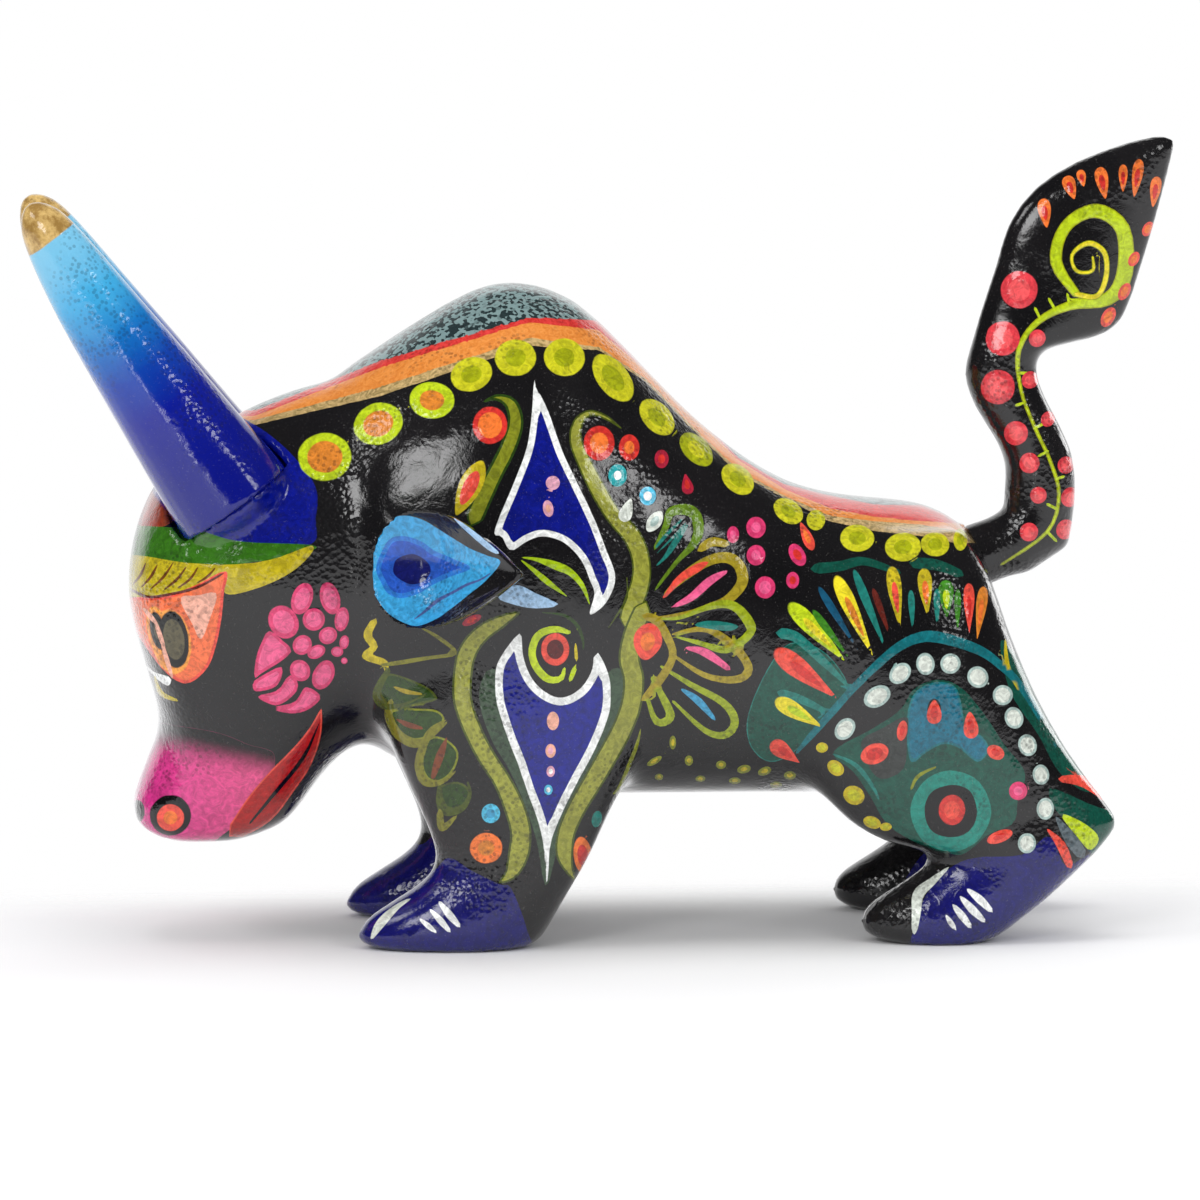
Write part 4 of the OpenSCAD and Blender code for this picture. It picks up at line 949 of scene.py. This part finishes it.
def paint(ob, outlines, strokes, layers, spots=(), levels=(), free=(), black=-9.0):
    """Works out the layers of a design on every vertex of ob, and gives back their places on the sheet. black
    is above 0 where a vertex stays black."""
    co_mm, no = coords(ob) / MM, normals(ob)
    uv = on_sheet(co_mm)
    look = facing(co_mm, no)
    away = np.maximum((0.02 - look) * 12, black)
    relief = np.maximum(lay_outlines(ob, uv, away, outlines, layers, free),
                        lay_strokes(ob, uv, away, strokes, layers))
    if len(spots):
        relief = np.maximum(relief, lay_spots(ob, uv, away, spots, levels, SPOT_LAYERS))
    store(ob, "relief", relief)
    store(ob, "away", away)
    return uv


LAYERS = 6
EAR_LAYERS = 3
uv = paint(body, OUTLINES, STROKES, LAYERS, SPOTS, SPOT_LEVELS, ("royal", "navy"))
store(body, "band", along_back(uv))
uv = paint(tail, OUTLINES, STROKES, LAYERS, SPOTS, SPOT_LEVELS)
store(tail, "band", np.full(len(uv), -3.0))
for side, ob in ears.items():
    high, far, _ = in_seat(coords(ob), SEATS[1 if side == "left" else 3])
    paint(ob, EAR_OUTLINES, EAR_STROKES, EAR_LAYERS, black=np.minimum(5.2 - high, 7.4 - far))
for ob in horns.values():
    co_mm = coords(ob) / MM
    at = np.array(SEATS[0]["at"]) * [1, np.sign(co_mm[:, 1].mean()) * -1, 1]
    store(ob, "along", (co_mm - at) @ unit(SEATS[0]["way"]))
print("painted", [len(ob.data.attributes) for ob in (body, tail)], "attributes")

# %% [markdown]
# ## Paint in the shader
# The same brushwork covers the block, the tail and the ears, so one layer of it is built once as a node group
# and used alike for outline, stroke and spot layers. It takes the colour so far and gives it back with its
# own layer on top. A second group, made for each material, stacks the layers of a whole design.

# %% node helpers
def group(name, ins, outs):
    """An empty shader node group with named inputs and outputs, its tree, and its two end nodes."""
    tree = bpy.data.node_groups.new(name, "ShaderNodeTree")
    kinds = {"f": "NodeSocketFloat", "c": "NodeSocketColor", "v": "NodeSocketVector"}
    for label, kind, value in ins:
        socket = tree.interface.new_socket(label, in_out="INPUT", socket_type=kinds[kind])
        if value is not None:
            socket.default_value = value
    for label, kind in outs:
        tree.interface.new_socket(label, in_out="OUTPUT", socket_type=kinds[kind])
    return tree, tree.nodes.new("NodeGroupInput"), tree.nodes.new("NodeGroupOutput")


class Bench:
    """Short ways to add nodes to one tree: numbers and sockets can both be given as inputs."""

    def __init__(self, tree):
        self.tree = tree

    def join(self, value, socket):
        """Links value if it is a socket, or sets it as the socket's own value."""
        if isinstance(value, bpy.types.NodeSocket):
            self.tree.links.new(value, socket)
        elif value is not None:
            socket.default_value = value

    def node(self, kind, ins=None, **settings):
        """A node of a kind with its settings and inputs."""
        made = self.tree.nodes.new(kind)
        for key, value in settings.items():
            setattr(made, key, value)
        for key, value in (ins or {}).items():
            self.join(value, made.inputs[key])
        return made

    def math(self, operation, a, b=None, c=None):
        """One Math node's result."""
        made = self.tree.nodes.new("ShaderNodeMath")
        made.operation = operation
        for k, value in enumerate((a, b, c)):
            if value is not None:
                self.join(value, made.inputs[k])
        return made.outputs[0]

    def ramp(self, value, low, high, to_low=0.0, to_high=1.0):
        """value eased from low..high to to_low..to_high."""
        made = self.node("ShaderNodeMapRange", {"Value": value, "From Min": low, "From Max": high,
                                                "To Min": to_low, "To Max": to_high})
        made.interpolation_type = "SMOOTHSTEP"
        return made.outputs["Result"]

    def mix(self, mask, a, b, how="MIX"):
        """Colour a, or colour b where mask is 1."""
        made = self.tree.nodes.new("ShaderNodeMix")
        made.data_type = "RGBA"
        made.blend_type = how
        for value, k in ((mask, 0), (a, 6), (b, 7)):
            self.join(value, made.inputs[k])
        return made.outputs[2]

    def kept(self, name):
        """The Attribute node that reads a vertex attribute."""
        made = self.tree.nodes.new("ShaderNodeAttribute")
        made.attribute_name = name
        return made

    def noise(self, scale, detail=3.0, rough=0.55, where=None, twist=0.0):
        """Noise on Object coordinates, scale in cycles per metre."""
        at = where or self.node("ShaderNodeTexCoord").outputs["Object"]
        return self.node("ShaderNodeTexNoise", {"Vector": at, "Scale": scale, "Detail": detail,
                                                "Roughness": rough, "Distortion": twist})


# %% laying one layer of brushwork
def brushed_group():
    """Over a colour, a fill inside distance 0 whose outer part, up to Width, is the edge colour. The colour
    varies a little with the brush."""
    tree, start, end = group(
        "Brushed layer",
        [("Colour", "c", None), ("Distance", "f", 0.0), ("Width", "f", 0.0), ("Fill", "c", None),
         ("Edge", "c", None), ("Wobble", "f", 0.0), ("Streak", "f", 0.5), ("Gate", "f", 1.0)],
        [("Colour", "c")])
    b = Bench(tree)
    i = start.outputs
    d = b.math("ADD", i["Distance"], i["Wobble"])
    mask = b.math("MULTIPLY", b.ramp(d, 0.07, -0.07), i["Gate"])
    inner = b.ramp(b.math("ADD", d, i["Width"]), 0.05, -0.05)
    paint_colour = b.mix(inner, i["Edge"], i["Fill"])
    shade = b.ramp(i["Streak"], 0.28, 0.72, 0.62, 1.18)
    toned = b.node("ShaderNodeVectorMath", {0: paint_colour, "Scale": shade}, operation="SCALE").outputs[0]
    b.join(b.mix(mask, i["Colour"], toned), end.inputs["Colour"])
    return tree


BRUSHED = brushed_group()


def design_group(layers, spot_layers):
    """The whole painted design over a ground colour, read from the attributes that paint() stored."""
    tree, start, end = group(
        "Painted design %d %d" % (layers, spot_layers),
        [("Ground", "c", None), ("Wobble", "f", 0.16), ("Streak size", "f", 420.0)],
        [("Colour", "c")])
    b = Bench(tree)
    waver = b.noise(330.0, 2.0).outputs["Fac"]
    wobble = b.math("MULTIPLY", b.math("SUBTRACT", waver, 0.5), start.outputs["Wobble"])
    streak = b.noise(start.outputs["Streak size"], 4.0, 0.7, None, 1.4).outputs["Fac"]
    turned = b.ramp(b.math("ADD", b.kept("away").outputs["Fac"], wobble), 0.0, -0.3)
    colour = start.outputs["Ground"]

    def lay(colour, d, width, fill, edge, gate):
        made = tree.nodes.new("ShaderNodeGroup")
        made.node_tree = BRUSHED
        for key, value in (("Colour", colour), ("Distance", d), ("Width", width), ("Fill", fill),
                           ("Edge", edge), ("Wobble", wobble), ("Streak", streak), ("Gate", gate)):
            b.join(value, made.inputs[key])
        return made.outputs["Colour"]

    for layer in range(layers):
        fill, edge = b.kept("fill%d" % layer), b.kept("edge%d" % layer)
        colour = lay(colour, edge.outputs["Alpha"], fill.outputs["Alpha"], fill.outputs["Color"],
                     edge.outputs["Color"], 1.0)
        line = b.node("ShaderNodeSeparateXYZ", {0: b.kept("line%d" % layer).outputs["Vector"]})
        fill, edge = b.kept("inkfill%d" % layer), b.kept("inkedge%d" % layer)
        d = b.math("SUBTRACT", b.math("ABSOLUTE", line.outputs[0]), line.outputs[1])
        gate = b.math("MULTIPLY", b.ramp(line.outputs[2], 0.85, 0.6), turned)
        colour = lay(colour, d, fill.outputs["Alpha"], fill.outputs["Color"], edge.outputs["Color"], gate)
    for layer in range(spot_layers):
        place = b.node("ShaderNodeSeparateXYZ", {0: b.kept("place%d" % layer).outputs["Vector"]})
        form = b.node("ShaderNodeSeparateXYZ", {0: b.kept("form%d" % layer).outputs["Vector"]})
        x, y = place.outputs[0], place.outputs[1]
        taper = b.math("MULTIPLY_ADD", form.outputs[0], x, 1.0)
        pinch = b.math("SUBTRACT", 1.0, b.math("MULTIPLY", form.outputs[1], b.math("MULTIPLY", x, x)))
        thin = b.math("MAXIMUM", b.math("MULTIPLY", taper, pinch), THINNEST)
        yy = b.math("DIVIDE", y, thin)
        g = b.math("SQRT", b.math("ADD", b.math("MULTIPLY", x, x), b.math("MULTIPLY", yy, yy)))
        d = b.math("MULTIPLY", b.math("SUBTRACT", g, 1.0), 2.0)
        width = b.math("MULTIPLY", b.math("SUBTRACT", 1.0, form.outputs[2]), 2.0)
        gate = b.math("MULTIPLY", b.ramp(place.outputs[2], 0.5, 0.3), turned)
        colour = lay(colour, d, width, b.kept("heart%d" % layer).outputs["Color"],
                     b.kept("rim%d" % layer).outputs["Color"], gate)
    b.join(colour, end.inputs["Colour"])
    return tree


# %% [markdown]
# ## The varnish
# Brushed-on varnish is glossy but never flat: it follows the knife marks and dries in fine ripples, and dust
# settles in it. So a reflection breaks into crisp patches with ragged sides. The group gives the colour with
# its fine dust, a roughness and a normal.

# %% varnish
def varnish_group():
    """Ripples and crazing of several sizes bend the normal; the paint's own height is added to them."""
    tree, start, end = group(
        "Brushed varnish",
        [("Colour", "c", None), ("Paint height", "f", 0.0), ("Ripple", "f", 1.0), ("Ripple size", "f", 260.0),
         ("Grain", "f", 0.5), ("Patches", "f", 0.5), ("Roughness", "f", 0.16)],
        [("Colour", "c"), ("Roughness", "f"), ("Normal", "v"), ("Coat normal", "v")])
    b = Bench(tree)
    i = start.outputs
    at = b.node("ShaderNodeTexCoord").outputs["Object"]
    big = b.noise(60.0, 2.0, 0.5, at).outputs["Fac"]
    ripple = b.noise(i["Ripple size"], 5.0, 0.62, at, 0.8).outputs["Fac"]
    fine = b.noise(2300.0, 3.0, 0.6, at).outputs["Fac"]
    crisp = b.node("ShaderNodeTexVoronoi", {"Vector": at, "Scale": 900.0}, feature="F1").outputs["Distance"]
    where = b.ramp(b.noise(48.0, 3.0, 0.6, at).outputs["Fac"], 0.46, 0.6)
    rough_spots = b.math("MULTIPLY", where, i["Patches"])
    height = b.math("MULTIPLY", b.math("ADD", ripple, b.math("MULTIPLY", big, 1.2)), i["Ripple"])
    height = b.math("MULTIPLY_ADD", b.math("MULTIPLY", fine, i["Grain"]), 0.12, height)
    height = b.math("MULTIPLY_ADD", b.math("MULTIPLY", crisp, rough_spots), 1.0, height)
    height = b.math("MULTIPLY_ADD", i["Paint height"], 0.8, height)
    bump = b.node("ShaderNodeBump", {"Strength": 0.7, "Distance": 0.00018, "Height": height})
    b.join(bump.outputs[0], end.inputs["Normal"])
    b.join(bump.outputs[0], end.inputs["Coat normal"])
    dust = b.ramp(fine, 0.62, 0.72, 0.0, 0.10)
    pits = b.math("MULTIPLY", b.ramp(crisp, 0.42, 0.3, 0.0, 0.5), b.math("MULTIPLY", rough_spots, 0.8))
    worn = b.mix(pits, i["Colour"], (0.006, 0.006, 0.007, 1))
    b.join(b.mix(dust, worn, (0.45, 0.43, 0.4, 1)), end.inputs["Colour"])
    b.join(b.math("MULTIPLY_ADD", rough_spots, 0.12, i["Roughness"]), end.inputs["Roughness"])
    return tree


VARNISH = varnish_group()


def lacquered(name, ripple, ripple_size, grain, patches, roughness):
    """A material of paint under varnish, with its Bench and the varnish group's node."""
    mat = bpy.data.materials.new(name)
    mat.use_nodes = True
    mat.node_tree.nodes.clear()
    b = Bench(mat.node_tree)
    skin = b.node("ShaderNodeGroup", node_tree=VARNISH)
    for key, value in (("Ripple", ripple), ("Ripple size", ripple_size), ("Grain", grain),
                       ("Patches", patches), ("Roughness", roughness)):
        skin.inputs[key].default_value = value
    shader = b.node("ShaderNodeBsdfPrincipled", {
        "Base Color": skin.outputs["Colour"], "Roughness": skin.outputs["Roughness"],
        "Normal": skin.outputs["Normal"], "Coat Normal": skin.outputs["Coat normal"]})
    shader.inputs["Coat Weight"].default_value = 1.0
    shader.inputs["Coat Roughness"].default_value = 0.03
    shader.inputs["Coat IOR"].default_value = 1.5
    shader.inputs["Specular IOR Level"].default_value = 0.15
    b.node("ShaderNodeOutputMaterial", {"Surface": shader.outputs[0]})
    return mat, b, skin


print("groups", [g.name for g in bpy.data.node_groups])

# %% [markdown]
# ## Body and tail lacquer
# Black ground, then the ribbons along the spine, then the drawn design, then varnish.

# %% body lacquer
INK_GROUND = (0.0042, 0.004, 0.0048, 1)


def ribbons(b, ground):
    """The buff, orange, red and speckled ribbons along the back over a ground colour."""
    band = b.kept("band").outputs["Fac"]
    waver = b.noise(260.0, 3.0).outputs["Fac"]
    band = b.math("ADD", band, b.math("MULTIPLY", b.math("SUBTRACT", waver, 0.5), 0.22))
    streak = b.ramp(b.noise(500.0, 4.0, 0.7, None, 2.0).outputs["Fac"], 0.3, 0.7)
    buff = b.mix(streak, (*linear((120, 104, 60)), 1), (*linear((208, 176, 120)), 1))
    orange = b.mix(streak, (*linear((205, 118, 44)), 1), (*linear((228, 146, 70)), 1))
    red = b.mix(streak, (*linear((180, 38, 34)), 1), (*linear((218, 62, 58)), 1))
    fleck = b.node("ShaderNodeTexVoronoi", {"Vector": b.node("ShaderNodeTexCoord").outputs["Object"],
                                            "Scale": 1250.0}, feature="F1")
    bright = b.ramp(b.node("ShaderNodeSeparateColor", {0: fleck.outputs["Color"]}).outputs[0], 0.42, 0.5)
    speckled = b.mix(bright, (*linear((34, 48, 50)), 1), (*linear((118, 142, 142)), 1))
    colour = ground
    for level, paint_colour in ((0.0, buff), (1.0, orange), (2.0, red), (3.0, speckled)):
        colour = b.mix(b.ramp(band, level - 0.04, level + 0.04), colour, paint_colour)
    return colour


def body_material(name, with_ribbons, layers, spot_layers, ripple):
    """Ink ground, ribbons, design and varnish."""
    mat, b, skin = lacquered(name, ripple, 250.0, 0.6, 1.0, 0.17)
    ground = b.mix(b.ramp(b.noise(35.0, 3.0).outputs["Fac"], 0.3, 0.7), INK_GROUND, (0.009, 0.008, 0.009, 1))
    if with_ribbons:
        ground = ribbons(b, ground)
    design = b.node("ShaderNodeGroup", node_tree=design_group(layers, spot_layers))
    b.join(ground, design.inputs["Ground"])
    design.inputs["Wobble"].default_value = 0.16
    design.inputs["Streak size"].default_value = 420.0
    b.join(design.outputs["Colour"], skin.inputs["Colour"])
    b.join(b.kept("relief").outputs["Fac"], skin.inputs["Paint height"])
    return mat


BODY_LACQUER = body_material("body_lacquer_paint", True, LAYERS, SPOT_LAYERS, 1.0)
TAIL_LACQUER = body_material("tail_lacquer_paint", False, LAYERS, SPOT_LAYERS, 0.9)
EAR_LACQUER = body_material("ear_lacquer_paint", False, EAR_LAYERS, 0, 0.5)

# %% [markdown]
# ## Horn lacquer
# The horns shade from deep blue at the foot through bright blue to pale blue, with a gold tip. The colour
# follows the distance along the horn, which its skin carries.

# %% horn lacquer
def horn_material():
    """A run of blues by distance along the horn, a gold tip with a painted edge, and varnish."""
    mat, b, skin = lacquered("horn_lacquer_paint", 0.8, 200.0, 0.5, 0.8, 0.15)
    along = b.kept("along").outputs["Fac"]
    waver = b.math("MULTIPLY", b.math("SUBTRACT", b.noise(120.0, 4.0, 0.6).outputs["Fac"], 0.5), 7.0)
    way = b.ramp(b.math("ADD", along, waver), 0.0, 72.0)
    run = b.node("ShaderNodeValToRGB", {"Fac": way})
    ramp = run.color_ramp
    stops = ((0.0, (4, 14, 120)), (0.3, (4, 22, 140)), (0.5, (6, 60, 160)), (0.68, (10, 110, 185)),
             (0.86, (60, 165, 215)), (1.0, (120, 190, 222)))
    while len(ramp.elements) < len(stops):
        ramp.elements.new(0.5)
    for element, (place, rgb) in zip(ramp.elements, stops):
        element.position = place
        element.color = (*linear(rgb), 1)
    tip = b.ramp(b.math("ADD", along, b.math("MULTIPLY", waver, 0.12)), 69.0, 69.4)
    gold = b.mix(b.ramp(b.noise(300.0, 4.0, 0.7).outputs["Fac"], 0.35, 0.65),
                 (*linear((150, 116, 60)), 1), (*linear((212, 178, 112)), 1))
    b.join(b.mix(tip, run.outputs[0], gold), skin.inputs["Colour"])
    b.join(b.math("MULTIPLY", tip, 0.6), skin.inputs["Paint height"])
    return mat


HORN_LACQUER = horn_material()

# %% [markdown]
# ## Bare wood for the pegs
# The pegs are whittled from the same copal wood and left bare. Growth rings run along a peg as close stripes,
# so the stripes are stacked along an axis that lies square to it: Y for the horns' and the tail's pegs, which
# stay in the middle plane, and Z for the ears' pegs, which stick out sideways.

# %% peg wood
def peg_material(name, across, stretch):
    """Stripes of early and late wood stacked along one axis, bent by noise, with fine pores along the peg."""
    mat = bpy.data.materials.new(name)
    mat.use_nodes = True
    mat.node_tree.nodes.clear()
    b = Bench(mat.node_tree)
    at = b.node("ShaderNodeTexCoord").outputs["Object"]
    long = b.node("ShaderNodeMapping", {"Vector": at, "Scale": stretch}).outputs[0]
    rings = b.node("ShaderNodeTexWave", {"Vector": long, "Scale": 260.0, "Distortion": 2.0, "Detail": 3.0},
                   bands_direction=across)
    pores = b.noise(2600.0, 3.0, 0.6, long).outputs["Fac"]
    tone = b.mix(rings.outputs["Fac"], (*linear((186, 146, 98)), 1), (*linear((224, 194, 148)), 1))
    tone = b.mix(b.ramp(pores, 0.6, 0.75, 0.0, 0.6), tone, (*linear((128, 92, 56)), 1))
    height = b.math("SUBTRACT", rings.outputs["Fac"], b.math("MULTIPLY", pores, 0.7))
    bump = b.node("ShaderNodeBump", {"Strength": 0.4, "Distance": 0.0002, "Height": height})
    rough = b.ramp(pores, 0.2, 0.8, 0.5, 0.72)
    shader = b.node("ShaderNodeBsdfPrincipled", {"Base Color": tone, "Roughness": rough,
                                                 "Normal": bump.outputs[0]})
    b.node("ShaderNodeOutputMaterial", {"Surface": shader.outputs[0]})
    return mat


PEG_WOOD = peg_material("peg_wood", "Y", (0.2, 1.0, 0.2))
EAR_PEG_WOOD = peg_material("ear_peg_wood", "Z", (0.2, 0.2, 1.0))
print("materials", [m.name for m in bpy.data.materials])

# %% dressing the pieces
def dress(ob, mat, rides_on, stands_for):
    """Gives a piece its material and slot, parents it to the body it rides on, and hides the node it stands
    for.
    """
    ob.data.materials.clear()
    ob.data.materials.append(mat)
    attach(ob, rides_on)
    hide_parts(stands_for)


dress(body, BODY_LACQUER, "block", "body")
dress(tail, TAIL_LACQUER, "tail_piece", "tail")
for s in ("left", "right"):
    dress(horns[s], HORN_LACQUER, s + "_horn_piece", s + "_horn")
    dress(ears[s], EAR_LACQUER, s + "_ear_piece", s + "_ear")
for name, ob in frame["nodes"].items():
    if name.endswith("_peg"):
        for k in range(len(ob.material_slots)):
            ob.material_slots[k].material = EAR_PEG_WOOD if "ear" in name else PEG_WOOD

# %% [markdown]
# ## Floor, light and camera
# A white floor under a white surround, which the eye sees as an empty studio. Glossy varnish shows what is
# round it, so what it reflects is made separately: a dim upper room with a few large panels of light, which
# give the crisp patches, and the bright floor, which lifts the lower sides to charcoal.

# %% floor
def floor_sheet(half, drop):
    """A flat square sheet at height drop, as a grid of 2 x 2 points."""
    g = np.array([-half, half])
    p = np.stack(np.meshgrid(g, g), -1).reshape(-1, 2)
    mesh = bpy.data.meshes.new("floor")
    mesh.from_pydata([(float(px), float(py), drop) for px, py in p], [], [(0, 1, 3, 2)])
    ob = bpy.data.objects.new("floor", mesh)
    bpy.context.collection.objects.link(ob)
    return ob


floor = floor_sheet(4.0, -0.0002)
mat = bpy.data.materials.new("studio_floor")
mat.use_nodes = True
mat.node_tree.nodes.clear()
b = Bench(mat.node_tree)
matt = b.node("ShaderNodeBsdfDiffuse", {"Color": (0.86, 0.86, 0.87, 1)})
gone = b.node("ShaderNodeBsdfTransparent")
back = b.node("ShaderNodeSeparateXYZ", {0: b.node("ShaderNodeTexCoord").outputs["Object"]}).outputs[1]
fade = b.math("MULTIPLY", b.ramp(back, 0.028, 0.075), b.node("ShaderNodeLightPath").outputs["Is Camera Ray"])
both = b.node("ShaderNodeMixShader", {0: fade, 1: matt.outputs[0], 2: gone.outputs[0]})
b.node("ShaderNodeOutputMaterial", {"Surface": both.outputs[0]})
floor.data.materials.append(mat)

# %% room
scene = bpy.context.scene
world = bpy.data.worlds.new("studio")
scene.world = world
world.use_nodes = True
world.node_tree.nodes.clear()
b = Bench(world.node_tree)
seen = b.node("ShaderNodeBackground", {"Color": (1, 1, 1, 1), "Strength": 1.0})
lit = b.node("ShaderNodeBackground", {"Color": (1.0, 1.0, 1.0, 1), "Strength": 0.78})
way = b.node("ShaderNodeSeparateXYZ", {0: b.node("ShaderNodeTexCoord").outputs["Generated"]})
behind = b.ramp(way.outputs[1], 0.55, 0.85, 0.05, 0.9)
mirrored = b.node("ShaderNodeBackground", {"Color": (1, 1, 1, 1), "Strength": behind})
path = b.node("ShaderNodeLightPath")
near = b.node("ShaderNodeMixShader", {0: path.outputs["Is Glossy Ray"], 1: lit.outputs[0],
                                      2: mirrored.outputs[0]})
pick = b.node("ShaderNodeMixShader", {0: path.outputs["Is Camera Ray"], 1: near.outputs[0],
                                      2: seen.outputs[0]})
b.node("ShaderNodeOutputWorld", {"Surface": pick.outputs[0]})


# %% panels
def panel(name, bearing, rise, wide, high, radiance, far=1.6, glossy=True):
    """A rectangular panel of light seen from the bull at a bearing (degrees from -Y towards +X) and a rise,
    turned to it. Its power in watts is pi times its area times the radiance it should show."""
    lamp = bpy.data.lights.new(name, "AREA")
    lamp.shape = "RECTANGLE"
    lamp.size, lamp.size_y, lamp.energy = wide, high, np.pi * wide * high * radiance
    a, e = np.radians(bearing), np.radians(rise)
    at = Vector((np.sin(a) * np.cos(e), -np.cos(a) * np.cos(e), np.sin(e))) * far + Vector((0, 0, 0.08))
    ob = bpy.data.objects.new(name, lamp)
    ob.location = at
    ob.rotation_euler = (Vector((0, 0, 0.08)) - at).to_track_quat("-Z", "Y").to_euler()
    ob.visible_glossy = glossy
    bpy.context.collection.objects.link(ob)
    return ob


panel("left_panel", -33, 27, 0.5, 0.42, 7.0)
panel("right_panel", 42, 27, 0.34, 0.34, 6.0)
panel("low_panel", -20, 2, 0.1, 0.22, 6.0)
panel("side_panel", -72, 40, 0.5, 0.3, 5.0)
panel("rim_panel", 128, 12, 0.5, 0.6, 3.0)
panel("top_panel", 0, 88, 0.9, 0.9, 3.2, 1.5, False)

# %% camera
CAMERA_AT = (-0.1348, -1.4261, 0.2198)
AIM = (0.0, 0.0, 0.073)
lens = bpy.data.cameras.new("camera")
lens.lens = 195.6
lens.sensor_width = 36.0
camera = bpy.data.objects.new("camera", lens)
camera.location = CAMERA_AT
camera.rotation_euler = (Vector(AIM) - Vector(CAMERA_AT)).to_track_quat("-Z", "Y").to_euler()
bpy.context.collection.objects.link(camera)
scene.camera = camera
scene.view_settings.view_transform = "Standard"
scene.view_settings.look = "None"
